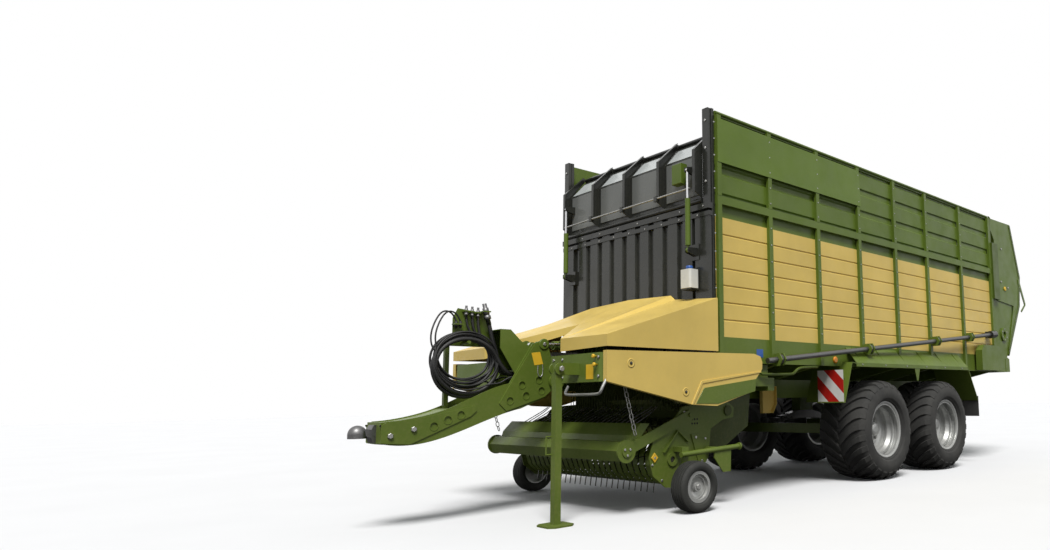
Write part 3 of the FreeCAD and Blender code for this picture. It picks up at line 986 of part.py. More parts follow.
gauge_arm = [box(SIDE_X + PLATE - 1, GAUGE_X - GAUGE_WIDE / 2 - 22, GAUGE_Y - 30, GAUGE_Y + 30, 470, 510),
             prism("x", [(GAUGE_Y - 36, 510), (GAUGE_Y + 36, 510), (GAUGE_Y + 26, GAUGE_R - 30),
                         (GAUGE_Y - 26, GAUGE_R - 30)], GAUGE_X - GAUGE_WIDE / 2 - 34,
                         GAUGE_X - GAUGE_WIDE / 2 - 22),
             rod((GAUGE_X - GAUGE_WIDE / 2 - 30, GAUGE_Y, GAUGE_R), (GAUGE_X + 36, GAUGE_Y, GAUGE_R), 20),
             rod((GAUGE_X - GAUGE_WIDE / 2 - 24, GAUGE_Y, GAUGE_R), (GAUGE_X - 52, GAUGE_Y, GAUGE_R), 33),
             rod((SIDE_X + PLATE - 1, 30, 468), (arm_x, 30, 468), 24),
             rod((arm_x, GAUGE_Y - 61, 451), (arm_x, ROTOR_Y + 6, 482), 22),
             rod((arm_x, ROTOR_Y - 4, 481.5), (arm_x, ROTOR_Y + 14, 482.5), 30),
             prism("x", [(-2, 484), (200, 470), (190, 277), (100, 277), (-2, 400)], arm_x - 6, arm_x + 6)]
press_pin = rod((SIDE_X + PLATE - 1, PRESS_PIVOT_Y, PRESS_PIVOT_Z),
                (SIDE_X + PLATE + 32, PRESS_PIVOT_Y, PRESS_PIVOT_Z), 18)
bearing = rod((SIDE_X - 20, REEL_Y, REEL_Z), (SIDE_X + PLATE + 14, REEL_Y, REEL_Z), 55)
bearing = bearing.cut(rod((SIDE_X - 30, REEL_Y, REEL_Z), (SIDE_X + 30, REEL_Y, REEL_Z), 25 + RUN_CLEAR))
side = side.cut(rod((SIDE_X - 1, REEL_Y, REEL_Z), (SIDE_X + PLATE + 1, REEL_Y, REEL_Z), 50))
save("pickup_frame", fuse([both_fused([side, bearing, press_pin] + gauge_arm), cross_tube]))

# curved bands between the rows of tines, held by a rail behind the reel
BAND_PITCH = 2 * PICKUP_HALF / BAND_COUNT
BAND_WIDE = BAND_PITCH - 20.0
ring_out = ring_points((REEL_Y, REEL_Z), BAND_R + 4, 10, 70, 240)
ring_in = ring_points((REEL_Y, REEL_Z), BAND_R, 10, 70, 240)
bands = []
for i in range(BAND_COUNT):
    x = -PICKUP_HALF + (i + 0.5) * BAND_PITCH
    outline = [(-48, 632)] + ring_out + [(-50, 352), (-50, 356)] + ring_in[::-1] + [(-48, 628)]
    bands.append(prism("x", outline, x - BAND_WIDE / 2, x + BAND_WIDE / 2))
rails = [box(-SIDE_X, SIDE_X, -50, -20, 600, 640), box(-SIDE_X, SIDE_X, -52, -41, 340, 390)]
save("pickup_bands", fuse(bands + rails))

# reel: a shaft, discs, tine bars and the spring tines between the bands
TINE_BAR_R = 130.0
reel = [polygon_bar((-SIDE_X - 12, REEL_Y, REEL_Z), (SIDE_X + 12, REEL_Y, REEL_Z), 25, 8)]
for x in (-PICKUP_HALF + 10, -PICKUP_HALF / 3, PICKUP_HALF / 3, PICKUP_HALF - 18):
    reel.append(polygon_bar((x, REEL_Y, REEL_Z), (x + 8, REEL_Y, REEL_Z), TINE_BAR_R + 18, 10))
for k in range(TINE_BARS):
    a = 2 * pi * k / TINE_BARS + 0.25
    y, z = REEL_Y + TINE_BAR_R * cos(a), REEL_Z + TINE_BAR_R * sin(a)
    reel.append(polygon_bar((-PICKUP_HALF + 5, y, z), (PICKUP_HALF - 5, y, z), 14, 6))
    tip_a = a + 0.30
    tip = (REEL_Y + REEL_TIP_R * cos(tip_a), REEL_Z + REEL_TIP_R * sin(tip_a))
    nx, ny = -sin(tip_a) * 3.5, cos(tip_a) * 3.5
    for i in range(1, BAND_COUNT):
        x = -PICKUP_HALF + i * BAND_PITCH
        reel.append(prism("x", [(y - nx, z - ny), (y + nx, z + ny), (tip[0] + nx, tip[1] + ny),
                                (tip[0] - nx, tip[1] - ny)], x - 3.5, x + 3.5))
save("pickup_reel", fuse(reel))

# crop press: two arms, a boxy beam with round end plates and a deflector behind it
arm = strut((ARM_X + 8, PRESS_PIVOT_Y, PRESS_PIVOT_Z), (ARM_X + 8, PRESS_Y + 40, PRESS_Z + 20), 16, 84)
arm = fuse([arm, rod((ARM_X, PRESS_PIVOT_Y, PRESS_PIVOT_Z), (ARM_X + 16, PRESS_PIVOT_Y, PRESS_PIVOT_Z), 46),
            rod((ARM_X, PRESS_Y, PRESS_Z), (ARM_X + 16, PRESS_Y, PRESS_Z), PRESS_END_R),
            rod((ARM_X + 15, PRESS_Y, PRESS_Z), (ARM_X + 26, PRESS_Y, PRESS_Z), 46)])
arm = arm.cut(rod((ARM_X - 1, PRESS_PIVOT_Y, PRESS_PIVOT_Z), (ARM_X + 20, PRESS_PIVOT_Y, PRESS_PIVOT_Z),
                  18.5))
press_line = [(PRESS_Y - 82, PRESS_Z + 8), (PRESS_Y - 30, PRESS_Z + 74), (PRESS_Y + 60, PRESS_Z + 74),
              (PRESS_Y + 84, PRESS_Z + 20), (PRESS_Y + 50, PRESS_Z - 60), (PRESS_Y - 50, PRESS_Z - 74)]
press_beam = prism("x", press_line, -ARM_X - 1, ARM_X + 1)
deflector = prism("x", [(PRESS_Y + 40, PRESS_Z + 60), (PRESS_Y + 84, PRESS_Z + 22),
                        (PRESS_Y + 240, PRESS_Z + 205),
                        (PRESS_Y + 150, PRESS_Z + 210), (PRESS_Y + 60, PRESS_Z + 120)], -ARM_X - 1,
                        ARM_X + 1)
save("crop_press", fuse(both(arm) + [press_beam, deflector]))

# chains that hold the press up, hung beside its arms
def chain_link(centre, along, flat):
    """Long eight-sided link with a square bar; flat tells which way its plane lies."""
    a, b, c = LINK_LONG / 2, LINK_WIDE / 2, LINK_CORNER
    ring = [(a, b - c), (a - c, b), (c - a, b), (-a, b - c), (-a, c - b), (c - a, -b), (a - c, -b),
            (a, c - b)]
    hole = inset(ring, LINK_BAR)
    solid = prism("z", ring, -LINK_BAR / 2, LINK_BAR / 2).cut(prism("z", hole, -LINK_BAR, LINK_BAR))
    if flat:
        solid.rotate(V(0, 0, 0), V(1, 0, 0), 90)
    solid.rotate(V(0, 0, 0), V(0, 0, 1), 90)
    solid.rotate(V(0, 0, 0), V(1, 0, 0), degrees(atan2(along.z, along.y)))
    solid.translate(centre)
    return solid


links = []
for i in range(LINK_COUNT):
    centre = V(CHAIN_X, *CHAIN_TOP) + chain_vector * ((i + 0.5) / LINK_COUNT)
    links.append(chain_link(centre, chain_vector, i % 2 == 0))
chain = links[0].multiFuse(links[1:])
save("press_chains", both(chain))

# ---------------------------------------------------------------- hood and side covers
HOOD_FRONT = -1185.0
HOOD_REAR = -34.3
NOSE_IN = 600.0             # inner end of each nose
NOSE_TOP = HOOD_BOTTOM + 86.0
NOTCH_Y = -600.0            # tip of the notch between the two noses
NOTCH_TOP = HOOD_BOTTOM + 288.0
LIP = 60.0
CREASE_REAR = HOOD_BOTTOM + 453.0
RIDGE_X = 605.0
RIDGE_TOP = HOOD_BOTTOM + 536.0
CROWN_TOP = HOOD_BOTTOM + 558.0
SHOULDER_TOP = HOOD_BOTTOM + 493.0


def hood_body(t):
    """Closed body of the hood with every outer wall moved inwards by t."""
    drop = 300.0 if t else 0.0
    slant = atan2(NOTCH_Y - HOOD_FRONT, NOSE_IN)
    nose_x = NOSE_IN + t * (1 - cos(slant)) / sin(slant)
    tip_y = NOTCH_Y + t / cos(slant)
    half = {"A0": (COVER_OUT - t, HOOD_REAR - t, HOOD_BOTTOM - drop),
            "A1": (COVER_OUT - t, HOOD_REAR - t, CREASE_REAR - t),
            "B0": (COVER_OUT - t, HOOD_FRONT + t, HOOD_BOTTOM - drop),
            "B1": (COVER_OUT - t, HOOD_FRONT + t, NOSE_TOP - t),
            "C0": (nose_x, HOOD_FRONT + t, HOOD_BOTTOM - 10 - drop),
            "C1": (nose_x, HOOD_FRONT + t, NOSE_TOP + 6 - t),
            "F1": (RIDGE_X + 55 - t, HOOD_REAR - t, SHOULDER_TOP - t),
            "E1": (RIDGE_X - t, HOOD_REAR - t, RIDGE_TOP - t)}
    points = dict(half)
    points.update({n + "m": (-x, y, z) for n, (x, y, z) in half.items()})
    points.update({"G1": (0, HOOD_REAR - t, CROWN_TOP - t), "D1": (0, tip_y, NOTCH_TOP - t),
                   "D0": (0, tip_y, NOTCH_TOP - LIP - drop)})
    right = [("B1", "A1", "F1"), ("B1", "F1", "C1"), ("C1", "F1", "E1"), ("C1", "E1", "D1"),
             ("E1", "G1", "D1"),
             ("C0", "C1", "D1", "D0"), ("B0", "B1", "C1", "C0"), ("A0", "A1", "B1", "B0"),
             ("A0", "B0", "C0"), ("A0", "C0", "D0")]
    centre = ("G1", "D1", "D0")
    left = [tuple(n if n in centre else n + "m" for n in face) for face in right]
    rear = [("A0", "A1", "F1", "E1", "G1", "E1m", "F1m", "A1m", "A0m"), ("A0", "D0", "A0m")]
    return polyhedron(points, right + left + rear)


hood = hood_body(0.0).cut(hood_body(SHEET))
rear_opening = box(-COVER_OUT + 60, COVER_OUT - 60, HOOD_REAR - 2 * SHEET, HOOD_REAR + 1, HOOD_BOTTOM - 1,
                   CREASE_REAR - 45)
hood = hood.cut(rear_opening)
save("hood", hood)

cover_line = [(HOOD_FRONT, HEAD_BOTTOM), (HOOD_FRONT, COVER_TOP)]
cover_line += [(y, COVER_TOP + z) for y, z in ((415, 22), (500, 0), (524, -50), (520, -112), (434, -200),
                                               (405, -306),
                                               (-60, -427), (-334, -411))]
COVER_IN = COVER_OUT - 46.0
cover = prism("x", cover_line, COVER_IN, COVER_OUT)
cover = cover.cut(prism("x", inset(cover_line, SHEET), COVER_IN - 1, COVER_OUT - SHEET))
COVER_HINGE_X = COVER_OUT - 18.0
hinge_places = [-900.0, -100.0]
for y in hinge_places:
    cover = cover.cut(box(COVER_IN - 1, COVER_OUT - SHEET, y - 52, y + 52, COVER_HINGE_Z - 30,
                          COVER_TOP + 30))
# beside the body's posts the cover keeps only its skin above the hinge, so that it swings clear of them
cover = cover.cut(box(COVER_IN - 1, COVER_OUT - SHEET, WALL_FRONT - 20, 530, COVER_HINGE_Z - 5,
                      COVER_TOP + 40))
cover = fuse([cover] + [box(COVER_HINGE_X - 12, COVER_OUT - SHEET + 1, y - 20, y + 20, COVER_HINGE_Z - 11,
                            COVER_HINGE_Z + 8)
                        for y in hinge_places])
for y in hinge_places:
    cover = cover.cut(rod((COVER_HINGE_X, y - 21, COVER_HINGE_Z), (COVER_HINGE_X, y + 21, COVER_HINGE_Z),
                          6.4))
brackets = []
for y in hinge_places:
    brackets.append(rod((COVER_HINGE_X, y - 45, COVER_HINGE_Z), (COVER_HINGE_X, y + 45, COVER_HINGE_Z), 6))
    for s in (-1, 1):
        brackets.append(box(HEAD_HALF - 20, COVER_HINGE_X + 6, y + s * 36 - 8, y + s * 36 + 8,
                            COVER_HINGE_Z - 16, COVER_HINGE_Z + 8))
save("side_cover_left", cover)
save("side_cover_right", mirrored(cover))
hinge_pairs = [fuse(brackets[i:i + 3]) for i in (0, 3)]
save("head_frame", fuse([both_fused(head + hinge_pairs)] + head_pieces))

# ---------------------------------------------------------------- mudguards, hazard boards, flaps
GUARD_EDGE_Z = 2 * TYRE_R + 170.0
GUARD_FRONT = AXLES[0] - TYRE_R - 27.0
GUARD_REAR = AXLES[1] + TYRE_R + 64.0
GUARD_THICK = 5.0
GUARD_FOOT = GUARD_EDGE_Z - 396.0            # lower end of the front and rear plates
guard_line = [(BODY_HALF, SILL_TOP - 20), (BODY_HALF, SILL_TOP - 26),
              (GUARD_OUT - GUARD_THICK, GUARD_EDGE_Z),
              (GUARD_OUT - GUARD_THICK, GUARD_EDGE_Z - 36), (GUARD_OUT, GUARD_EDGE_Z - 36),
              (GUARD_OUT, GUARD_EDGE_Z + 4)]
GUARD_IN = 760.0
guard = prism("y", guard_line, GUARD_FRONT, GUARD_REAR)
front_plate = prism("x", [(GUARD_FRONT + 5, GUARD_EDGE_Z), (GUARD_FRONT - 82, GUARD_EDGE_Z + 8),
                          (GUARD_FRONT - 232, GUARD_FOOT),
                          (GUARD_FRONT - 226, GUARD_FOOT - 2), (GUARD_FRONT - 77, GUARD_EDGE_Z + 2),
                          (GUARD_FRONT + 5, GUARD_EDGE_Z - 8)],
                    GUARD_IN, GUARD_OUT)
rear_plate = prism("x", [(GUARD_REAR - 5, GUARD_EDGE_Z), (GUARD_REAR + 5, GUARD_EDGE_Z),
                         (GUARD_REAR + 254, GUARD_FOOT - 25),
                         (GUARD_REAR + 248, GUARD_FOOT - 27), (GUARD_REAR - 5, GUARD_EDGE_Z - 8)], GUARD_IN,
                         GUARD_OUT)
BOARD_SIDE = 320.0
shelf_y = GUARD_FRONT - 250.0
shelf = box(GUARD_OUT - BOARD_SIDE, GUARD_OUT, shelf_y - 20, GUARD_FRONT - 226, GUARD_FOOT - 8,
            GUARD_FOOT + 2)
back = box(GUARD_OUT - BOARD_SIDE + 40, GUARD_OUT - 40, shelf_y, shelf_y + 4, GUARD_FOOT + 2,
           GUARD_FOOT + 290)
tie = box(GUARD_OUT - BOARD_SIDE + 60, GUARD_OUT - 60, shelf_y + 2, GUARD_FRONT - 120, GUARD_FOOT + 240,
          GUARD_FOOT + 248)
middle = prism("x", [(BOGIE_Y - 60, GUARD_EDGE_Z - 30), (BOGIE_Y + 60, GUARD_EDGE_Z - 30),
                     (BOGIE_Y + 14, GUARD_EDGE_Z - 176), (BOGIE_Y - 14, GUARD_EDGE_Z - 176)],
                     GUARD_OUT - 10, GUARD_OUT - 4)
mudguard = fuse([guard, front_plate, rear_plate, shelf, back, tie, middle]).cut(side_frame)
mudguard = max(mudguard.Solids, key=lambda s: s.Volume)
save("mudguards", both(mudguard))
board = box(GUARD_OUT - BOARD_SIDE, GUARD_OUT, shelf_y - 4, shelf_y - 0.3, GUARD_FOOT + 3,
            GUARD_FOOT + 3 + BOARD_SIDE)
save("hazard_boards", both(board))
flap_plate = box(GUARD_IN + 40, GUARD_OUT - 4, GUARD_REAR + 254.3, GUARD_REAR + 262, GUARD_FOOT - 231,
                 GUARD_FOOT + 30)
save("mud_flaps", both(flap_plate))

# ---------------------------------------------------------------- tail: cheeks, beam, gear cover, levers
CHEEK_OUT = GATE_HALF - 3.0
TAIL_END = BODY_LONG + 530.0
TAIL_BOTTOM = FLOOR_TOP - 85.0
BEAM_HIGH = 190.0
tail_line = [(WALL_REAR, TAIL_BOTTOM), (TAIL_END, TAIL_BOTTOM), (TAIL_END, TAIL_BOTTOM + BEAM_HIGH),
             (TAIL_END - 60, TAIL_BOTTOM + BEAM_HIGH + 20), (TAIL_END + 190, TAIL_BOTTOM + 695),
             (TAIL_END + 220, YELLOW_TOP + 15), (TAIL_END, BELT_TOP + 72), (WALL_REAR, BELT_TOP + 72)]
tail_cheek = prism("x", tail_line, BOARD_IN, CHEEK_OUT - 2)
ROLLER_LOW = (BODY_LONG + 380.0, FLOOR_TOP + 455.0)
ROLLER_HIGH = (BODY_LONG + 470.0, FLOOR_TOP + 1010.0)
ROLLER_R = 225.0
for y, z in (ROLLER_LOW, ROLLER_HIGH):
    tail_cheek = tail_cheek.cut(rod((BOARD_IN - 20, y, z), (CHEEK_OUT + 10, y, z), 40 + RUN_CLEAR))
tail_beam = box(-BODY_HALF, BODY_HALF, TAIL_END - 128, TAIL_END, TAIL_BOTTOM, TAIL_BOTTOM + BEAM_HIGH)
housing = box(BODY_HALF + 17, POST_OUT + 25, POST_REAR, POSTS[-1] + 215, YELLOW_TOP - 245,
              GATE_HINGE_Z - 350)
stringer = box(BEAM_IN, BEAM_OUT, BODY_LONG + 250, TAIL_END - 100, FRAME_TOP, TAIL_BOTTOM + 60)
tail_floor = box(-BOARD_IN, BOARD_IN, FLOOR_REAR, TAIL_END - 127, FLOOR_TOP - FLOOR_THICK, FLOOR_TOP - 5)
gate_pin = rod((BOARD_IN + 5, GATE_HINGE_Y, GATE_HINGE_Z), (POST_OUT, GATE_HINGE_Y, GATE_HINGE_Z), 16)
pin_ear = prism("x", [(WALL_REAR, GATE_HINGE_Z - 60), (GATE_HINGE_Y + 20, GATE_HINGE_Z - 20),
                      (GATE_HINGE_Y + 20, GATE_HINGE_Z + 20),
                      (WALL_REAR, GATE_HINGE_Z + 40)], BOARD_IN + 4, BOARD_IN + 18)
outer_ear = prism("x", [(POST_REAR, GATE_HINGE_Z - 60), (GATE_HINGE_Y + 20, GATE_HINGE_Z - 22),
                        (GATE_HINGE_Y + 20, GATE_HINGE_Z + 22), (POST_REAR, GATE_HINGE_Z + 40)],
                        POST_OUT - 14, POST_OUT)
tail = fuse([both_fused([tail_cheek, stringer]), tail_beam, tail_floor])
save("tail_frame", tail)
gate_mount = fuse([gate_pin, pin_ear, outer_ear, housing,
                   box(POST_OUT - 14, POST_OUT, POST_REAR, POST_REAR + 30,
                                                              GATE_HINGE_Z - 360, GATE_HINGE_Z - 40)])
save("gate_mounts", both(gate_mount))
GEAR_DEEP = 92.0
gear_line = [(BODY_LONG + y, TAIL_BOTTOM + z)
             for y, z in ((-635, 7), (-635, 275), (-560, 347), (-80, 347), (10, 275), (10, 7))]
gear_cover = prism("x", gear_line, POST_OUT, POST_OUT + GEAR_DEEP)
gear_cover = gear_cover.cut(prism("x", inset(gear_line, SHEET), POST_OUT - 1, POST_OUT + GEAR_DEEP - SHEET))
save("gear_cover", gear_cover)

# side shaft from the front gearbox to the dosing rollers, its bearings on the posts


def on_shaft(y):
    rise = (SHAFT_REAR_Z - SHAFT_FRONT_Z) / (SHAFT_REAR_Y - SHAFT_FRONT_Y)
    return (SHAFT_X, y, SHAFT_FRONT_Z + (y - SHAFT_FRONT_Y) * rise)


shaft = rod(on_shaft(SHAFT_FRONT_Y), on_shaft(SHAFT_REAR_Y), SHAFT_R)
save("side_shaft", shaft)
bearings = []
for i in (1, 3, 5, 6):
    y = POSTS[i]
    x, y, z = on_shaft(y)
    ring = tube(on_shaft(y - 20), on_shaft(y + 20), SHAFT_R + 26, SHAFT_R + 0.6)
    arm = box(POST_OUT, SHAFT_X - SHAFT_R - 12, y - 18, y + 18, z - 24, z + 34)
    bearings.append(fuse([ring, arm]))
x, y, z = on_shaft(SHAFT_REAR_Y)
rear_box = fuse([rod(on_shaft(SHAFT_REAR_Y - 40), on_shaft(SHAFT_REAR_Y + 110), 52),
                 box(BODY_HALF, x, y + 10, y + 90, z - 40, z + 48)])
rear_box = rear_box.cut(rod(on_shaft(SHAFT_REAR_Y - 41), on_shaft(SHAFT_REAR_Y + 1), SHAFT_R + RUN_CLEAR))
bearings.append(rear_box)
save("shaft_bearings", bearings)


def dosing_roller(y, z, turn):
    """Drum with rows of fins across the body, its stubs in the cheeks."""
    half = BOARD_IN - 20
    pieces = [polygon_bar((-half, y, z), (half, y, z), 105, 10),
              rod((-CHEEK_OUT + 2, y, z), (CHEEK_OUT - 2, y, z), 40)]
    fins = 9
    for k in range(4):
        a = turn + pi / 2 * k
        for i in range(fins):
            x = -half + 60 + i * (2 * half - 120) / (fins - 1) + (k % 2) * 60 - 30
            root, tip = 95.0, ROLLER_R
            line = [(y + root * cos(a - 0.30), z + root * sin(a - 0.30)),
                    (y + tip * cos(a - 0.05), z + tip * sin(a - 0.05)),
                    (y + tip * cos(a + 0.06), z + tip * sin(a + 0.06)),
                    (y + root * cos(a + 0.30), z + root * sin(a + 0.30))]
            pieces.append(prism("x", line, x - 7, x + 7))
    return fuse(pieces)


save("dosing_roller_low", dosing_roller(ROLLER_LOW[0], ROLLER_LOW[1], 0.2))
save("dosing_roller_high", dosing_roller(ROLLER_HIGH[0], ROLLER_HIGH[1], 0.6))

# ---------------------------------------------------------------- tailgate
GATE_PLATE = 8.0
GATE_TOP = (REAR_REACH - 408.0, GATE_HINGE_Z + 38.0)
GATE_WAIST = (REAR_REACH - 140.0, BELT_BOTTOM + 65.0)
GATE_KNEE = (REAR_REACH - 210.0, YELLOW_TOP - 281.0)
GATE_LOW = (TAIL_END - 5.0, TAIL_BOTTOM + BEAM_HIGH + 45.0)
gate_rear = [GATE_TOP, GATE_WAIST, GATE_KNEE, GATE_LOW]
gate_inner = [(y - GATE_PLATE, z) for y, z in ((GATE_TOP[0], GATE_TOP[1] - 8), GATE_WAIST,
                                               (GATE_KNEE[0], GATE_KNEE[1] + 3),
                                               (GATE_LOW[0] + 1, GATE_LOW[1] + 5))]
gate_skin = prism("x", gate_rear + gate_inner[::-1], -GATE_HALF, GATE_HALF)
side_line = [(GATE_HINGE_Y + 18, GATE_HINGE_Z + 25)] + gate_rear
side_line += [(GATE_LOW[0] - 20, GATE_LOW[1] + 30), (REAR_REACH - 430, GATE_KNEE[1] - 8),
              (BODY_LONG + 220, YELLOW_TOP - 249),
              (BODY_LONG + 220, GATE_HINGE_Z - 280), (GATE_HINGE_Y - 12, GATE_HINGE_Z - 70),
              (GATE_HINGE_Y - 18, GATE_HINGE_Z - 10)]
gate_side = prism("x", side_line, GATE_HALF, GATE_HALF + GATE_PLATE)
hinge_eye = rod((GATE_HALF - 6, GATE_HINGE_Y, GATE_HINGE_Z),
                (GATE_HALF + GATE_PLATE, GATE_HINGE_Y, GATE_HINGE_Z), 24)
cross_rail = box(-GATE_HALF, GATE_HALF, GATE_TOP[0] - 62, GATE_TOP[0], GATE_TOP[1] - 38, GATE_TOP[1] + 2)
waist = box(-GATE_HALF, GATE_HALF, GATE_WAIST[0] - 60, GATE_WAIST[0] - 8, GATE_WAIST[1] - 30,
            GATE_WAIST[1] + 30)
lever_line = [(REAR_REACH + y, GATE_KNEE[1] + z)
              for y, z in ((-240, 406), (-200, 421), (0, 58), (-6, 32), (-160, -84), (-180, -64), (-40, 41),
                           (-230, 356))]
lever = prism("x", lever_line, GATE_HALF + GATE_PLATE - 1, GATE_HALF + GATE_PLATE + 10)
gate = fuse([gate_skin, cross_rail, waist] + both(gate_side) + both(hinge_eye) + both(lever))
gate = gate.cut(rod((-POST_OUT - 5, GATE_HINGE_Y, GATE_HINGE_Z), (POST_OUT + 5, GATE_HINGE_Y, GATE_HINGE_Z),
                    16.5))
save("tailgate", gate)

# ---------------------------------------------------------------- small pieces on the body
lamp = box(-60, 60, TAIL_END + 0.3, TAIL_END + 40, TAIL_BOTTOM + 40, TAIL_BOTTOM + 150)
lamps = []
for s in (-1, 1):
    one = lamp.copy()
    one.translate(V(s * 900, 0, 0))
    lamps.append(one)
save("rear_lamps", lamps)
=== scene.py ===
"""Looks of the loader wagon: materials, hoses, small fittings, light and camera. Metres, front towards -Y.

Every y in the lists below is measured from the front wall of the body, as from_wall() takes it.
"""
import json
import random
from collections import namedtuple
from math import cos, hypot, pi, radians, sin

import bmesh
import bpy
from mathutils import Matrix, Vector


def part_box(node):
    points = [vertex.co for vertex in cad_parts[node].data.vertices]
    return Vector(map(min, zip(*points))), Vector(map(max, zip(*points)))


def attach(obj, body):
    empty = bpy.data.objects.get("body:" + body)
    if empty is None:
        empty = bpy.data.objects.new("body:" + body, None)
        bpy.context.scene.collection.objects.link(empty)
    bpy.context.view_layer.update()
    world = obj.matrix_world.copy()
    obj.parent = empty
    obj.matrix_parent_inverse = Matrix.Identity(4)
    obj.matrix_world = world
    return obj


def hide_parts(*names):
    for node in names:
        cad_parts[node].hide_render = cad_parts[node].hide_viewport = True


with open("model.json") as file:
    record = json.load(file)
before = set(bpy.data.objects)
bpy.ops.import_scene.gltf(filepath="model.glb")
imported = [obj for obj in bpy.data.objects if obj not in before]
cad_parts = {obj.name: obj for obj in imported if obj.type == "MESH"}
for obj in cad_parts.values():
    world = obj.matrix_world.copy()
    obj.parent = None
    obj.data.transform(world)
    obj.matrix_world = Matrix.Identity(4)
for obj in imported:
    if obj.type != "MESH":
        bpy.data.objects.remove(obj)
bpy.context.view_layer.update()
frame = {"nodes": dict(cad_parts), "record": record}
nodes = frame["nodes"]
WALL_REACH = 0.032  # how far the front wall reaches back from y = 0
WALL_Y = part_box("front_wall")[1].y - WALL_REACH
SIDES = (("left", 1), ("right", -1))  # name of a side, and the way it faces along X
FORWARD = (0, -1, 0)
BLACK, WHITE = (0.0, 0.0, 0.0), (1.0, 1.0, 1.0)


def from_wall(x, y, z):
    """A point whose y is given from the body's front wall."""
    return Vector((x, WALL_Y + y, z))


def on_side(out, x, spots):
    """Points on a face that looks sideways, from a list of (y, z)."""
    return [from_wall(out * x, y, z) for y, z in spots]


def circle(middle, r, angles):
    """Spots (y, z) at these angles on a circle round a middle."""
    return [(middle[0] + r * cos(a), middle[1] + r * sin(a)) for a in angles]


# ---------------- shader helpers
class Shader:
    """A material's node tree with short calls for the nodes that are used here."""

    def __init__(self, name):
        self.material = bpy.data.materials.new(name)
        self.material.use_nodes = True
        self.tree = self.material.node_tree
        self.bsdf = self.tree.nodes["Principled BSDF"]
        self.place = self.add("ShaderNodeTexCoord").outputs["Object"]

    def add(self, kind, **settings):
        node = self.tree.nodes.new(kind)
        for key, value in settings.items():
            setattr(node, key, value)
        return node

    def link(self, source, target):
        self.tree.links.new(source, target)

    def feed(self, socket, value):
        """Link a socket to another one, or set it to a constant."""
        if hasattr(value, "links"):
            self.link(value, socket)
        else:
            socket.default_value = value

    def noise(self, scale, detail=4.0):
        node = self.add("ShaderNodeTexNoise")
        node.inputs["Scale"].default_value = scale
        node.inputs["Detail"].default_value = detail
        node.inputs["Roughness"].default_value = 0.55
        self.link(self.place, node.inputs["Vector"])
        return node.outputs["Fac"]

    def ramp(self, factor, low, high):
        """Colour that runs from low to high; each is (place on the ramp, colour)."""
        node = self.add("ShaderNodeValToRGB")
        for element, (place, colour) in zip(node.color_ramp.elements, (low, high)):
            element.position = place
            element.color = (*colour, 1.0)
        self.link(factor, node.inputs["Fac"])
        return node.outputs["Color"]

    def mix(self, factor, first, second):
        """Blend of two colours, each a socket or a constant, by a factor's socket."""
        node = self.add("ShaderNodeMix", data_type="RGBA")
        self.link(factor, node.inputs["Factor"])
        for socket, value in ((node.inputs["A"], first), (node.inputs["B"], second)):
            self.feed(socket, (*value, 1.0) if isinstance(value, tuple) else value)
        return node.outputs["Result"]

    def math(self, kind, first, second=0.0, clamp=False):
        """A calculation with one or two values, each a socket or a constant."""
        node = self.add("ShaderNodeMath", operation=kind, use_clamp=clamp)
        for socket, value in zip(node.inputs, (first, second)):
            self.feed(socket, value)
        return node.outputs["Value"]

    def colour(self, source):
        self.link(source, self.bsdf.inputs["Base Color"])

    def roughness(self, factor, low, high):
        """Roughness that runs from low to high; each is (place on the ramp, roughness)."""
        grey = [(place, (value,) * 3) for place, value in (low, high)]
        self.link(self.ramp(factor, *grey), self.bsdf.inputs["Roughness"])

    def bump(self, height, strength, distance):
        node = self.add("ShaderNodeBump")
        node.inputs["Strength"].default_value = strength
        node.inputs["Distance"].default_value = distance
        self.link(height, node.inputs["Height"])
        self.link(node.outputs["Normal"], self.bsdf.inputs["Normal"])


def scaled(colour, k):
    """A colour made lighter or darker."""
    return tuple(min(1.0, c * k) for c in colour)


def mixed(first, second, k):
    """A colour on the way from the first to the second."""
    return tuple(a * (1 - k) + b * k for a, b in zip(first, second))


# ---------------- materials
DUST = (0.36, 0.31, 0.13)
GREY_DUST = (0.16, 0.155, 0.14)
STRIPE_PITCH = 0.272  # one pale and one dark band of a warning board


def paint(name, colour, rough, dust, metallic=0.0, coat=0.05):
    """Sprayed steel: slight orange peel, dust that lies mostly low down, dull patches."""
    s = Shader(name)
    broad = s.noise(scale=1.7, detail=5.0)
    fine = s.noise(scale=38.0, detail=3.0)
    clean = s.ramp(broad, (0.25, scaled(colour, 0.86)), (0.75, scaled(colour, 1.1)))
    height = s.add("ShaderNodeSeparateXYZ")
    s.link(s.place, height.inputs[0])
    low = s.math("SUBTRACT", 1.0, s.math("MULTIPLY", height.outputs["Z"], 0.55), clamp=True)
    speck = s.ramp(fine, (0.45, BLACK), (0.75, WHITE))
    amount = s.math("MULTIPLY", s.math("ADD", s.math("MULTIPLY", low, 0.8), 0.25), dust)
    patches = s.math("ADD", s.math("MULTIPLY", speck, 0.5), s.math("MULTIPLY", broad, 0.9))
    s.colour(s.mix(s.math("MULTIPLY", amount, patches), clean, mixed(colour, DUST, 0.8)))
    s.roughness(s.noise(scale=6.0), (0.3, rough - 0.07), (0.8, rough + 0.16))
    s.bsdf.inputs["Metallic"].default_value = metallic
    s.bsdf.inputs["Coat Weight"].default_value = coat
    s.bsdf.inputs["Specular IOR Level"].default_value = 0.32
    s.bump(s.noise(scale=160.0, detail=2.0), strength=0.1, distance=0.002)
    return s.material


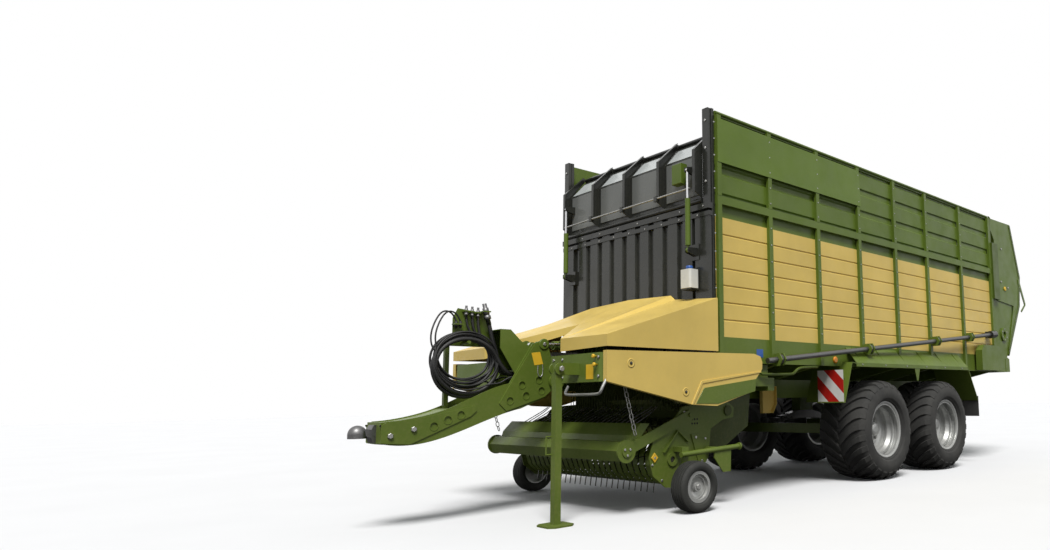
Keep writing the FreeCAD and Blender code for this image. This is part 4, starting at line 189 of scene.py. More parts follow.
def rubber(name, colour, rough, dust, grain=60.0):
    """Matt rubber with pale dust in patches."""
    s = Shader(name)
    fine = s.noise(scale=grain)
    patches = s.ramp(s.noise(scale=5.0, detail=6.0), (0.35, BLACK), (0.8, WHITE))
    clean = s.ramp(fine, (0.3, scaled(colour, 0.8)), (0.8, scaled(colour, 1.5)))
    s.colour(s.mix(s.math("MULTIPLY", patches, dust), clean, mixed(colour, GREY_DUST, 0.5)))
    s.roughness(fine, (0.2, rough - 0.12), (0.9, min(1.0, rough + 0.1)))
    s.bump(fine, strength=0.35, distance=0.003)
    return s.material


def metal(name, colour, rough, stain=0.4):
    """Bare or plated steel with a fine grain and dull stains."""
    s = Shader(name)
    grain = s.noise(scale=70.0)
    stains = s.math("MULTIPLY", s.noise(scale=9.0, detail=5.0), stain)
    clean = s.ramp(grain, (0.2, scaled(colour, 0.8)), (0.85, scaled(colour, 1.1)))
    s.colour(s.mix(stains, clean, scaled(colour, 0.45)))
    s.roughness(grain, (0.2, rough - 0.08), (0.9, rough + 0.15))
    s.bsdf.inputs["Metallic"].default_value = 1.0
    s.bump(grain, strength=0.15, distance=0.001)
    return s.material


def plastic(name, colour, rough):
    """Moulded plastic with a faint grain."""
    s = Shader(name)
    s.colour(s.ramp(s.noise(scale=14.0), (0.3, scaled(colour, 0.92)), (0.8, scaled(colour, 1.05))))
    s.roughness(s.noise(scale=90.0, detail=2.0), (0.2, rough - 0.05), (0.9, rough + 0.1))
    s.bump(s.noise(scale=240.0, detail=2.0), strength=0.08, distance=0.001)
    return s.material


def striped(name, pale, dark):
    """Warning board: slanting bands of two colours that fall towards the wagon's outer edge."""
    s = Shader(name)
    parts = s.add("ShaderNodeSeparateXYZ")
    s.link(s.place, parts.inputs[0])
    slant = s.math("ADD", s.math("ABSOLUTE", parts.outputs["X"]), parts.outputs["Z"])
    band = s.math("LESS_THAN", s.math("FRACT", s.math("DIVIDE", slant, STRIPE_PITCH)), 0.5)
    worn = s.noise(scale=25.0)
    first = s.ramp(worn, (0.3, scaled(pale, 0.9)), (0.8, pale))
    second = s.ramp(worn, (0.3, scaled(dark, 0.85)), (0.8, scaled(dark, 1.1)))
    s.colour(s.mix(band, first, second))
    s.roughness(worn, (0.3, 0.32), (0.8, 0.5))
    s.bump(s.noise(scale=180.0, detail=2.0), strength=0.08, distance=0.001)
    return s.material


GREEN = (0.092, 0.15, 0.014)
YELLOW = (0.74, 0.54, 0.14)
CHARCOAL = (0.022, 0.024, 0.022)
MATERIALS = {
    "green_paint": paint("green paint", GREEN, rough=0.42, dust=0.3),
    "yellow_paint": paint("yellow paint", YELLOW, rough=0.38, dust=0.22),
    "charcoal_paint": paint("charcoal paint", CHARCOAL, rough=0.27, dust=0.12, coat=0.3),
    "tyre": rubber("tyre rubber", (0.022, 0.022, 0.021), rough=0.86, dust=0.45),
    "small_tyre": rubber("small tyre rubber", (0.013, 0.014, 0.012), rough=0.74, dust=0.3),
    "silver_paint": paint("silver paint", (0.46, 0.47, 0.47), rough=0.4, dust=0.2, metallic=0.55),
    "bare_steel": metal("bare steel", (0.2, 0.2, 0.2), rough=0.42),
    "chrome": metal("chromed rod", (0.75, 0.75, 0.76), rough=0.14, stain=0.1),
    "zinc": metal("galvanised steel", (0.5, 0.5, 0.48), rough=0.45),
    "hose_rubber": rubber("hose rubber", (0.012, 0.012, 0.012), rough=0.55, dust=0.12, grain=300.0),
    "flap_rubber": rubber("flap rubber", (0.018, 0.018, 0.018), rough=0.8, dust=0.4),
    "board_white": striped("warning stripes", (0.8, 0.79, 0.76), (0.5, 0.015, 0.01)),
    "white_plastic": plastic("milky plastic", (0.72, 0.73, 0.7), rough=0.4),
    "lamp_red": plastic("red lens", (0.42, 0.012, 0.01), rough=0.15),
    "amber": plastic("amber lens", (0.85, 0.3, 0.02), rough=0.25),
    "label": plastic("blank yellow label", (0.8, 0.5, 0.03), rough=0.45),
    "blue": plastic("blue plastic", (0.03, 0.11, 0.4), rough=0.35),
    # near-black discs laid on faces: painted shade where holes are
    "hole": plastic("painted shade of a hole", (0.004, 0.004, 0.004), rough=0.9),
    # green at 0.4: partly worn paint, partly painted shade deep inside the feed channel
    "channel": paint("worn green paint with painted shade", scaled(GREEN, 0.4), rough=0.55, dust=0.2),
    "sign": paint("pale green paint", scaled(GREEN, 1.22), rough=0.4, dust=0.22),
    # green a little lighter on the tailgate: painted reflection of the sky
    "gate": paint("gate green paint with painted reflection", scaled(GREEN, 1.02), rough=0.4, dust=0.25),
    # darker copy of the green: painted shade on the gate mounts and on the edge strips of the gate's side
    # plates
    "shade_green": paint("shaded green paint", scaled(GREEN, 0.65), rough=0.42, dust=0.2),
    # grey sheets between the black flap's ribs: painted sheen below, painted sky reflection on the slope
    "panel": paint("grey panel", (0.165, 0.174, 0.17), rough=0.28, dust=0.08),
    "pale_panel": paint("pale grey panel", (0.46, 0.49, 0.49), rough=0.28, dust=0.08),
}
# the record's slot for each finish that isn't named after it; None where the record has no such slot
SLOTS = {"small_tyre": "tyre", "channel": "green_paint", "shade_green": "green_paint", "panel": "charcoal_paint",
         "pale_panel": "silver_paint", "amber": None, "label": None, "blue": None, "hole": None}
# CAD nodes whose finish isn't their slot's usual one; the feed channel and the rotor take a darker green that
# is partly wear and partly painted shade, the tailgate a slightly lighter green as painted reflection, and
# the gate mounts a darker green as painted shade
SPECIAL = {"feed_channel": "channel", "feed_rotor": "channel", "sign_boards": "sign", "tailgate": "gate",
           "gate_mounts": "shade_green"}


def paint_nodes():
    """Every CAD node in the finish of its slot, or in its special one."""
    for part in frame["record"]["subparts"]:
        materials = nodes[part["node"]].data.materials
        materials.clear()
        materials.append(MATERIALS[SPECIAL.get(part["node"], part["material_slot"])])


# ---------------- floor, light, camera
FLOOR_SIZE = 120.0
FLOOR_LOW, FLOOR_HIGH = (0.81, 0.82, 0.84), (0.84, 0.85, 0.87)  # mottling that the camera sees
FLOOR_DULL = (0.1, 0.1, 0.1)  # what every other ray meets
SKY_LIGHT, SKY_TINT = 0.3, (0.97, 0.99, 1.0)
SUN_LIGHT, SUN_TINT = 3.4, (1.0, 0.985, 0.96)
SUN_WIDE = 22.0  # degrees across, for soft shadows
SUN_WAY = (-0.55, 0.45, -1.0)  # the way its light goes
CAMERA_PLACE = (5.512, -4.405, 0.897)  # y from the front wall
CAMERA_YAW, CAMERA_PITCH, CAMERA_ROLL = 42.862, 6.681, -1.019  # degrees
CAMERA_LENS, SENSOR_WIDE = 25.02, 36.0  # millimetres
CAMERA_SHIFT = (-0.2048, 0.0357)


def build_floor():
    """Plain pale floor, dark to bounced light so that it doesn't brighten the wagon's underside."""
    bpy.ops.mesh.primitive_plane_add(size=FLOOR_SIZE, location=(0, 0, 0))
    floor = bpy.context.object
    floor.name = "floor"
    s = Shader("floor")
    pale = s.ramp(s.noise(scale=0.8, detail=3.0), (0.3, FLOOR_LOW), (0.8, FLOOR_HIGH))
    seen = s.add("ShaderNodeLightPath").outputs["Is Camera Ray"]
    s.colour(s.mix(seen, FLOOR_DULL, pale))
    s.bsdf.inputs["Roughness"].default_value = 0.9
    floor.data.materials.append(s.material)


def build_sky():
    """Sky that is white where it is seen, reflected or through clear pieces too, and dimmer as a light."""
    world = bpy.data.worlds.new("sky")
    bpy.context.scene.world = world
    world.use_nodes = True
    tree = world.node_tree
    tree.nodes.clear()

    def background(colour, strength):
        node = tree.nodes.new("ShaderNodeBackground")
        node.inputs["Color"].default_value = (*colour, 1.0)
        node.inputs["Strength"].default_value = strength
        return node.outputs[0]

    def either(first, second):
        node = tree.nodes.new("ShaderNodeMath")
        node.operation = "MAXIMUM"
        tree.links.new(first, node.inputs[0])
        tree.links.new(second, node.inputs[1])
        return node.outputs[0]

    rays = tree.nodes.new("ShaderNodeLightPath").outputs
    seen = either(either(rays["Is Camera Ray"], rays["Is Transmission Ray"]), rays["Is Glossy Ray"])
    choose = tree.nodes.new("ShaderNodeMixShader")
    out = tree.nodes.new("ShaderNodeOutputWorld")
    tree.links.new(seen, choose.inputs["Fac"])
    tree.links.new(background(SKY_TINT, SKY_LIGHT), choose.inputs[1])
    tree.links.new(background(WHITE, 1.0), choose.inputs[2])
    tree.links.new(choose.outputs[0], out.inputs["Surface"])


def build_sun():
    """One broad sun, high on the left and ahead of the wagon."""
    sun = bpy.data.lights.new("sun", "SUN")
    sun.energy = SUN_LIGHT
    sun.angle = radians(SUN_WIDE)
    sun.color = SUN_TINT
    lamp = bpy.data.objects.new("sun", sun)
    lamp.rotation_euler = Vector(SUN_WAY).to_track_quat("-Z", "Y").to_euler()
    bpy.context.collection.objects.link(lamp)


def build_camera():
    """The photograph's own viewpoint: off the left front corner, at about the height of a person's waist."""
    yaw, pitch, roll = radians(CAMERA_YAW), radians(CAMERA_PITCH), radians(CAMERA_ROLL)
    ahead = Vector((-sin(yaw) * cos(pitch), cos(yaw) * cos(pitch), sin(pitch)))
    right = Vector((cos(yaw), sin(yaw), 0.0))
    up = right.cross(ahead)
    across = right * cos(roll) + up * sin(roll)
    over = up * cos(roll) - right * sin(roll)
    data = bpy.data.cameras.new("camera")
    data.sensor_width = SENSOR_WIDE
    data.sensor_fit = "HORIZONTAL"
    data.lens = CAMERA_LENS
    data.shift_x, data.shift_y = CAMERA_SHIFT
    data.clip_end = 200.0
    camera = bpy.data.objects.new("camera", data)
    turn = Matrix((across, over, -ahead)).transposed().to_4x4()
    camera.matrix_world = Matrix.Translation(from_wall(*CAMERA_PLACE)) @ turn
    bpy.context.collection.objects.link(camera)
    bpy.context.scene.camera = camera


# ---------------- shape helpers
BEDDED = 0.001  # how deep a fitting sits in the face that carries it
PLATE_EDGE, LABEL_EDGE = 0.0015, 0.0003  # how much a plate's or a label's edge is softened
HEAD_SIDES = 6  # of a bolt head or nut


def add_piece(name, data, finish, body, slot=None):
    """A mesh or curve in its finish, as a piece of the visual model that moves with a body."""
    data.materials.append(MATERIALS[finish])
    piece = bpy.data.objects.new(name, data)
    bpy.context.collection.objects.link(piece)
    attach(piece, body)
    slot = slot or SLOTS.get(finish, finish)
    return piece


def mesh_piece(name, verts, faces, finish, body, sharp=35.0):
    """A piece from points and faces; edges sharper than this many degrees stay crisp."""
    mesh = bpy.data.meshes.new(name)
    mesh.from_pydata([tuple(v) for v in verts], [], faces)
    bm = bmesh.new()
    bm.from_mesh(mesh)
    bmesh.ops.recalc_face_normals(bm, faces=bm.faces)
    bm.to_mesh(mesh)
    bm.free()
    for face in mesh.polygons:
        face.use_smooth = True
    mesh.set_sharp_from_angle(angle=radians(sharp))
    return add_piece(name, mesh, finish, body)


def turn_to(direction):
    """Turn that takes the Z axis to a direction."""
    return Vector((0, 0, 1)).rotation_difference(Vector(direction)).to_matrix()


def ring_faces(count, sides):
    """Quads of a closed section of count points carried round in so many steps."""
    faces = []
    for i in range(sides):
        near, far = i * count, (i + 1) % sides * count
        for k in range(count):
            after = (k + 1) % count
            faces.append((near + k, near + after, far + after, far + k))
    return faces


def band_faces(base, count):
    """Quads between two closed outlines of count points each; base is the first point's number."""
    faces = []
    for i in range(count):
        j = (i + 1) % count
        faces.append((base + i, base + j, base + count + j, base + count + i))
    return faces


def round_x(centre, x, r, angle):
    """Point at a radius round an X axis; angle 0 points up and a quarter turn points forwards."""
    return Vector((centre.x + x, centre.y - r * sin(angle), centre.z + r * cos(angle)))


def studs(name, places, direction, body, r, high, finish="zinc"):
    """Bolt heads or nuts of one size, all pointing the same way, as one piece."""
    turn = turn_to(direction)
    verts, faces = [], []
    for place in places:
        base = len(verts)
        for along, share in ((-BEDDED, 1.0), (high * 0.8, 1.0), (high, 0.82)):
            for i in range(HEAD_SIDES):
                a = 2 * pi * i / HEAD_SIDES
                verts.append(place + turn @ Vector((r * share * cos(a), r * share * sin(a), along)))
        faces += band_faces(base, HEAD_SIDES) + band_faces(base + HEAD_SIDES, HEAD_SIDES)
        faces.append(tuple(base + i for i in range(HEAD_SIDES))[::-1])
        faces.append(tuple(base + 2 * HEAD_SIDES + i for i in range(HEAD_SIDES)))
    return mesh_piece(name, verts, faces, finish, body)


def side_studs(name, out, face, spots, body, r, high):
    """Bolts on a face that looks sideways, from a list of (y, z)."""
    return studs(name, on_side(out, face, spots), (out, 0, 0), body, r, high)


def ring(name, place, direction, finish, body, r_in, r_out, thick, sides=32):
    """Flat ring or, with few sides, a polygonal plate with a way through it."""
    turn = turn_to(direction)
    section = ((r_in, 0.0), (r_out, 0.0), (r_out, thick), (r_in, thick))
    verts = []
    for i in range(sides):
        a = 2 * pi * i / sides
        verts += [place + turn @ Vector((r * cos(a), r * sin(a), along)) for r, along in section]
    return mesh_piece(name, verts, ring_faces(len(section), sides), finish, body)


def plate(name, axis, outline, lo, hi, finish, body, edge=PLATE_EDGE):
    """Flat plate with softened edges: outline of (y, z) across X, or of (x, z) along Y."""
    def at(a, b, c):
        return from_wall(c, a, b) if axis == "x" else from_wall(a, c, b)

    count = len(outline)
    middle_a = sum(a for a, b in outline) / count
    middle_b = sum(b for a, b in outline) / count
    verts = []
    for level, pull in ((lo, edge), (lo + edge, 0.0), (hi - edge, 0.0), (hi, edge)):
        for a, b in outline:
            share = 1.0 - pull / hypot(a - middle_a, b - middle_b)
            verts.append(at(middle_a + (a - middle_a) * share, middle_b + (b - middle_b) * share, level))
    faces = [tuple(range(count))[::-1], tuple(3 * count + i for i in range(count))]
    for level in range(3):
        faces += band_faces(level * count, count)
    return mesh_piece(name, verts, faces, finish, body, sharp=20.0)


def side_plate(name, outline, out, face, thick, finish, body, edge=PLATE_EDGE):
    """Plate on a face that looks sideways, by its outline of (y, z)."""
    lo, hi = sorted((out * (face - BEDDED), out * (face + thick)))
    return plate(name, "x", outline, lo, hi, finish, body, edge)


def box_outline(a, b, wide, high):
    """Corners of an upright rectangle whose lowest values are a and b."""
    return [(a, b), (a + wide, b), (a + wide, b + high), (a, b + high)]


def strip(start, end, wide):
    """Outline of a narrow strip between two points of a plane."""
    (a0, b0), (a1, b1) = start, end
    long = hypot(a1 - a0, b1 - b0)
    off_a, off_b = -(b1 - b0) / long * wide / 2, (a1 - a0) / long * wide / 2
    return [(a0 + off_a, b0 + off_b), (a1 + off_a, b1 + off_b),
            (a1 - off_a, b1 - off_b), (a0 - off_a, b0 - off_b)]


def pipe(name, points, finish, body, diameter, steps=3, capped=True):
    """Bent bar, wire, pipe or hose that follows the points."""
    data = bpy.data.curves.new(name, "CURVE")
    data.dimensions = "3D"
    data.bevel_depth = diameter / 2
    data.bevel_resolution = steps
    data.resolution_u = 4
    data.use_fill_caps = capped
    spline = data.splines.new("NURBS")
    spline.points.add(len(points) - 1)
    for target, point in zip(spline.points, points):
        target.co = (*point, 1.0)
    spline.order_u = 3
    spline.use_endpoint_u = True
    return add_piece(name, data, finish, body)


def wire_row(name, count, half, way, finish, body, diameter, sway, rate):
    """Row of wires as wide as twice half; their way is a list of (y, z, share of the sideways sway)."""
    for i in range(count):
        x = -half + 2 * half * i / (count - 1)
        off = sway * sin(rate * i)
        route = [from_wall(x + share * off, y, z) for y, z, share in way]
        pipe("%s_%d" % (name, i), route, finish, body, diameter)


def lathe(name, profile, start, direction, finish, body, slot=None, sides=24):
    """A turned piece: profile of (distance along, radius) from start towards direction."""
    place = Matrix.Translation(start) @ turn_to(direction).to_4x4()
    angles = [2 * pi * i / sides for i in range(sides)]
    mesh = bpy.data.meshes.new(name)
    bm = bmesh.new()
    rings = []
    for along, r in profile:
        rings.append([bm.verts.new(place @ Vector((r * cos(a), r * sin(a), along))) for a in angles])
    for low, high in zip(rings, rings[1:]):
        for i in range(sides):
            bm.faces.new((low[i], low[(i + 1) % sides], high[(i + 1) % sides], high[i]))
    bm.faces.new(rings[0][::-1])
    bm.faces.new(rings[-1])
    bmesh.ops.recalc_face_normals(bm, faces=bm.faces)
    bm.to_mesh(mesh)
    bm.free()
    for face in mesh.polygons:
        face.use_smooth = len(face.vertices) == 4
    return add_piece(name, mesh, finish, body, slot)


# ---------------- wheels
RIM_SEAT = 0.286  # radius at which a main tyre's section starts
TYRE_STEPS = 72
# outer half of the main tyre's section: share of the half width, share of the side wall's height
TYRE_SECTION = [(0.79, 0.0), (0.82, 0.07), (0.9, 0.13), (0.9, 0.16), (0.97, 0.24), (1.0, 0.38),
                (0.995, 0.52), (0.97, 0.66), (0.93, 0.79), (0.86, 0.9), (0.76, 0.955), (0.6, 0.985),
                (0.3, 1.0)]
LUG_ROWS = 26
LUG_STEPS = 7
LUG_HIGH, LUG_FOOT = 0.024, 0.006  # above the tread, and sunk in it
LUG_SWEEP = 0.34  # how far a lug leads from the middle to the shoulder, radians
LUG_START, LUG_REACH = 0.03, 0.92  # shares of the half width
LUG_WIDE, LUG_FLARE = 0.05, 0.022  # width at the middle, and what the shoulder adds
LUG_TAPER = 0.8  # width of a lug's top as a share of its foot's
LUG_ROUNDING = 0.35  # share of its height that a lug loses at the shoulder
GAUGE_SEAT = 0.117
GAUGE_STEPS = 48
GAUGE_SECTION = [(0.6, 0.0), (0.66, 0.1), (0.9, 0.24), (1.0, 0.45), (0.99, 0.6), (0.93, 0.78),
                 (0.82, 0.91), (0.68, 0.955), (0.665, 0.9), (0.6, 0.9), (0.585, 0.97), (0.36, 0.99),
                 (0.345, 0.93), (0.28, 0.93), (0.265, 0.995), (0.05, 1.0), (0.03, 0.94)]
TYRE_SKIN = 0.001  # how much narrower each side of a tyre is than the CAD's
# the places out below go from the wheel's middle, away from the wagon
GAUGE_HUB_OUT = 0.036
NUTS, NUT_OUT, NUT_CIRCLE = 8, 0.044, 0.135
HUB_CAP_OUT = 0.1
HUB_CAP = [(0.0, 0.068), (0.024, 0.068), (0.031, 0.06), (0.033, 0.03)]
VALVE_OUT, VALVE_CIRCLE, VALVE_ANGLE = 0.06, 0.215, 1.1
VALVE = [(0.0, 0.006), (0.035, 0.006), (0.036, 0.004), (0.045, 0.004)]
RIM_RINGS = [(0.234, 0.262, 0.281), (0.176, 0.24, 0.262)]  # place out, inner and outer radius
GAUGE_RINGS = [(0.05, 0.1, 0.109), (0.03, 0.08, 0.087)]


def section_radius(section, share):
    """Height share of the tread at a share of the half width."""
    tread = [p for p in section if p[1] > 0.5][::-1]
    if share <= tread[0][0]:
        return tread[0][1]
    for (x0, h0), (x1, h1) in zip(tread, tread[1:]):
        if x0 <= share <= x1:
            return h0 + (h1 - h0) * (share - x0) / (x1 - x0)
    return tread[-1][1]


def lug(number, centre, half, wall, first):
    """Points and faces of one curved lug of a main tyre; first is the number of its first point."""
    side = 1 if number % 2 else -1
    verts, faces = [], []
    for k in range(LUG_STEPS + 1):
        share = k / LUG_STEPS
        across = LUG_START + LUG_REACH * share
        surface = RIM_SEAT + section_radius(TYRE_SECTION, across) * wall
        top = min(surface + LUG_HIGH * (1.0 - LUG_ROUNDING * share ** 6), centre.z)
        angle = pi * number / LUG_ROWS - LUG_SWEEP * sin(pi / 2 * share)
        wide = LUG_WIDE + LUG_FLARE * share
        for r, spread in ((surface - LUG_FOOT, 1.0), (top, LUG_TAPER)):
            for edge in (-1, 1):
                turned = angle + edge * spread * wide / 2 / surface
                verts.append(round_x(centre, side * across * half, r, turned))
    for k in range(LUG_STEPS):
        a, b = first + 4 * k, first + 4 * k + 4
        faces += [(a + p, b + p, b + q, a + q) for p, q in ((0, 2), (2, 3), (3, 1), (1, 0))]
    last = first + 4 * LUG_STEPS
    faces += [(first, first + 2, first + 3, first + 1), (last + 1, last + 3, last + 2, last)]
    return verts, faces


def tyre(node, body, section, seat, sides, finish, lugged=False):
    """Rounded tyre in place of the CAD's plain one, with curved lugs in V form if it is lugged."""
    low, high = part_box(node)
    centre = (low + high) / 2
    centre.z = high.z / 2 if lugged else centre.z
    half = (high.x - low.x) / 2 - TYRE_SKIN
    wall = centre.z - (LUG_HIGH if lugged else 0.0) - seat
    right = [(share * half, seat + rise * wall) for share, rise in section]
    whole = right + [(-x, r) for x, r in right[::-1]]
    verts = [round_x(centre, x, r, 2 * pi * i / sides) for i in range(sides) for x, r in whole]
    faces = ring_faces(len(whole), sides)
    for number in range(2 * LUG_ROWS if lugged else 0):
        lug_verts, lug_faces = lug(number, centre, half, wall, len(verts))
        verts += lug_verts
        faces += lug_faces
    piece = mesh_piece(node + "_tread", verts, faces, finish, body, sharp=32.0)
    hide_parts(node)
    return centre


def rolled_edges(name, rows, centre, out, body, thick, sides):
    """Rings on a rim, from a list of (place out, inner radius, outer radius)."""
    for place, r_in, r_out in rows:
        middle = round_x(centre, out * place, 0.0, 0.0)
        ring("%s_%d" % (name, place * 1000), middle, (out, 0, 0), "silver_paint", body, r_in, r_out, thick,
             sides)


def build_main_wheel(name, out):
    """Tyre, wheel nuts, hub cap, rolled rim edges and valve of a main wheel."""
    body = "wheel_" + name
    centre = tyre("tyre_" + name, body, TYRE_SECTION, RIM_SEAT, TYRE_STEPS, "tyre", lugged=True)
    direction = (out, 0, 0)
    nuts = [round_x(centre, out * NUT_OUT, NUT_CIRCLE, 2 * pi * i / NUTS) for i in range(NUTS)]
    studs("nuts_" + name, nuts, direction, body, r=0.017, high=0.024)
    hub = round_x(centre, out * HUB_CAP_OUT, 0.0, 0.0)
    lathe("hub_cap_" + name, HUB_CAP, hub, direction, "silver_paint", body, sides=32)
    rolled_edges("rim_ring_" + name, RIM_RINGS, centre, out, body, thick=0.012, sides=64)
    stem = round_x(centre, out * VALVE_OUT, VALVE_CIRCLE, VALVE_ANGLE)
    lathe("valve_" + name, VALVE, stem, direction, "hose_rubber", body, slot="tyre", sides=10)


def build_gauge_wheel(name, out):
    """Tyre, rolled rim edges and axle nut of one of the pick-up's gauge wheels."""
    body = "gauge_wheel_" + name
    centre = tyre("gauge_tyre_" + name, body, GAUGE_SECTION, GAUGE_SEAT, GAUGE_STEPS, "small_tyre")
    rolled_edges("gauge_ring_" + name, GAUGE_RINGS, centre, out, body, thick=0.006, sides=48)
    hub = round_x(centre, out * GAUGE_HUB_OUT, 0.0, 0.0)
    studs("gauge_nut_" + name, [hub], (out, 0, 0), body, r=0.022, high=0.016)


def build_wheels():
    """The four main wheels and the two gauge wheels."""
    for row in ("front", "rear"):
        for side, out in SIDES:
            build_main_wheel(row + "_" + side, out)
    for side, out in SIDES:
        build_gauge_wheel(side, out)


# ---------------- drawbar and head
CHEEK_FACE = 0.13  # outer face of the drawbar's cheeks
DOUBLER_FACE = 0.138  # outer face of the plates that stiffen them
NOSE_BOLTS = [(-2.273, 0.673), (-2.109, 0.714)]
NOSE_HOLES = [(-2.182, 0.652, 0.014), (-2.133, 0.638, 0.014), (-2.337, 0.745, 0.008)]  # y, z, radius
NOSE_HOLE_HIGH = 0.0012
RECESSES = [(-1.061, 0.987), (-1.086, 1.076), (-1.203, 0.947), (-1.347, 0.908), (-1.241, 1.034),
            (-1.754, 0.807), (-1.855, 0.772), (-1.96, 0.729)]
RECESS_RING = (0.0285, 0.034, 0.003)  # inner and outer radius, height
EAR_PIN = (-1.045, 1.375)  # eye of the drawbar's cylinders
EAR_BOSS = [(-0.004, 0.046), (0.008, 0.046), (0.01, 0.04)]
EAR_LABEL = [(-1.16, 1.298), (-1.08, 1.309), (-1.05, 1.209), (-1.131, 1.196)]
SPRING_CLIP = [(-1.1, 1.195), (-1.104, 1.14), (-1.09, 1.1), (-1.064, 1.105), (-1.05, 1.145),
               (-1.056, 1.205)]
SPRING_CLIP_OFF = 0.004  # from the plate to the middle of the clip's wire
STAND_X = 0.82  # middle of the parking stand
STAND_PIN = (-1.356, 1.135)
STAND_PIN_OUT = 0.057  # from the stand's middle to the ends of its pin
STEP_RAIL = [(0.73, -1.196, 1.01), (0.726, -1.212, 0.975), (0.715, -1.216, 0.948), (0.78, -1.216, 0.942),
             (0.9, -1.216, 0.942), (1.09, -1.216, 0.942), (1.16, -1.216, 0.948), (1.175, -1.212, 0.985),
             (1.18, -1.17, 1.06)]
HEAD_SEAT = -1.189  # y of what sits on the head beam, 1 mm inside its front face
HEAD_BOLTS = [(x, z) for x in (0.52, 0.64, 1.105) for z in (1.075, 1.215)]
HEAD_LABEL = box_outline(0.95, 1.055, 0.09, 0.11)
LABEL_THICK = 0.0025
KNOB = [(0.0, 0.006), (0.02, 0.006), (0.022, 0.015), (0.034, 0.015), (0.038, 0.01)]
KNOBS = [(1.075, 1.222), (1.085, 1.16)]  # x, z


def build_drawbar_trim():
    """Bolts and holes of the nose, rims of the recesses, the cylinders' pin, a label and a spring clip."""
    for side, out in SIDES:
        direction = (out, 0, 0)
        side_studs("nose_bolts_" + side, out, DOUBLER_FACE, NOSE_BOLTS, "drawbar", r=0.021, high=0.016)
        for i, (y, z, r) in enumerate(NOSE_HOLES):
            place = from_wall(out * CHEEK_FACE, y, z)
            # a hole is a thin near-black disc on the cheek: painted shade
            hole = [(0.0, r), (NOSE_HOLE_HIGH, r)]
            lathe("nose_hole_%s_%d" % (side, i), hole, place, direction, "hole", "drawbar")
        for i, place in enumerate(on_side(out, DOUBLER_FACE, RECESSES)):
            ring("recess_%s_%d" % (side, i), place, direction, "green_paint", "drawbar", *RECESS_RING)
        pin = from_wall(out * DOUBLER_FACE, *EAR_PIN)
        lathe("ear_boss_" + side, EAR_BOSS, pin, direction, "green_paint", "drawbar")
        boss_face = DOUBLER_FACE + EAR_BOSS[-1][0]
        side_studs("ear_bolt_" + side, out, boss_face, [EAR_PIN], "drawbar", r=0.016, high=0.01)
    side_plate("ear_label", EAR_LABEL, 1, DOUBLER_FACE, 0.0015, "label", "drawbar", LABEL_EDGE)
    wire = on_side(1, DOUBLER_FACE + SPRING_CLIP_OFF, SPRING_CLIP)
    pipe("spring_clip", wire, "zinc", "drawbar", diameter=0.007)


def build_head_trim():
    """The stand's pin, the bent rail under the head beam, its bolts, two yellow knobs and a blank label."""
    for side, out in reversed(SIDES):
        pin_end = from_wall(STAND_X + out * STAND_PIN_OUT, *STAND_PIN)
        studs("stand_pin_" + side, [pin_end], (out, 0, 0), "wagon", r=0.021, high=0.014)
    pipe("step_rail", [from_wall(*point) for point in STEP_RAIL], "zinc", "wagon", diameter=0.022)
    bolts = [from_wall(x, HEAD_SEAT, z) for x, z in HEAD_BOLTS]
    studs("head_bolts", bolts, FORWARD, "wagon", r=0.012, high=0.009)
    plate("head_label", "y", HEAD_LABEL, HEAD_SEAT - LABEL_THICK, HEAD_SEAT, "label", "wagon", LABEL_EDGE)
    for x, z in KNOBS:
        place = from_wall(x, HEAD_SEAT + BEDDED, z)
        lathe("knob_%d" % (x * 1000), KNOB, place, FORWARD, "label", "wagon", sides=16)


# ---------------- side covers
COVER_FACE = 1.2  # outer face of the side covers
INSERT = [(-0.208, 0.984), (0.434, 1.062), (0.418, 0.956), (-0.048, 0.853), (-0.3, 0.858)]
LEDGE = [(-0.352, 0.852), (-0.24, 1.04), (0.5, 1.132), (0.5, 1.12), (-0.228, 1.022), (-0.334, 0.852)]
COVER_BOLTS = [(-0.965, 1.171), (-0.409, 0.953)]
BOLT_CUP = [(0.0, 0.034), (0.004, 0.034), (0.004, 0.026), (0.0015, 0.024)]


def build_cover_trim():
    """Green panels set into the yellow side covers, the ledge round them and the two sunk bolts."""
    for side, out in SIDES:
        body = "side_cover_" + side
        direction = (out, 0, 0)
        side_plate("insert_" + side, INSERT, out, COVER_FACE, 0.004, "green_paint", body)
        side_plate("ledge_" + side, LEDGE, out, COVER_FACE, 0.007, "yellow_paint", body)
        for i, place in enumerate(on_side(out, COVER_FACE - BEDDED, COVER_BOLTS)):
            name = "%s_%d" % (side, i)
            lathe("sunk_" + name, BOLT_CUP, place, direction, "yellow_paint", body, sides=28)
            studs("sunk_bolt_" + name, [place], direction, body, 0.013, 0.007, "charcoal_paint")


# ---------------- crop press and pick-up
GUARD_WIRES, GUARD_HALF = 26, 0.84
GUARD_WAY = [(-0.66, 0.69, 0), (-0.62, 0.712, 0), (-0.54, 0.752, 0), (-0.44, 0.8, 1),
             (-0.38, 0.838, 2)]
PRESS_END = (-0.84, 0.503)  # middle of the crop press's round end plates
PRESS_BOLT_CIRCLE = 0.03
PRESS_BOLT_ANGLES = [0.5 + 2.1 * i for i in range(3)]
PICKUP_FACE = 0.97  # outer face of the pick-up's side plates
SIDE_BOLTS = [(-0.57, 0.38), (-0.47, 0.25), (-0.3, 0.2), (-0.14, 0.25), (-0.22, 0.79), (-0.33, 0.7),
              (0.02, 0.56)]
SIDE_RIBS = [((-0.456, 0.47), (-0.304, 0.64)), ((-0.304, 0.64), (-0.19, 0.545))]
RIB_WIDE, RIB_HIGH = 0.01, 0.022
ADDED_THICK = 0.01  # of the link plates and the markers on the side plates
LINK_PLATE = [(-0.15, 0.6), (-0.05, 0.6), (0.01, 0.345), (-0.06, 0.345)]
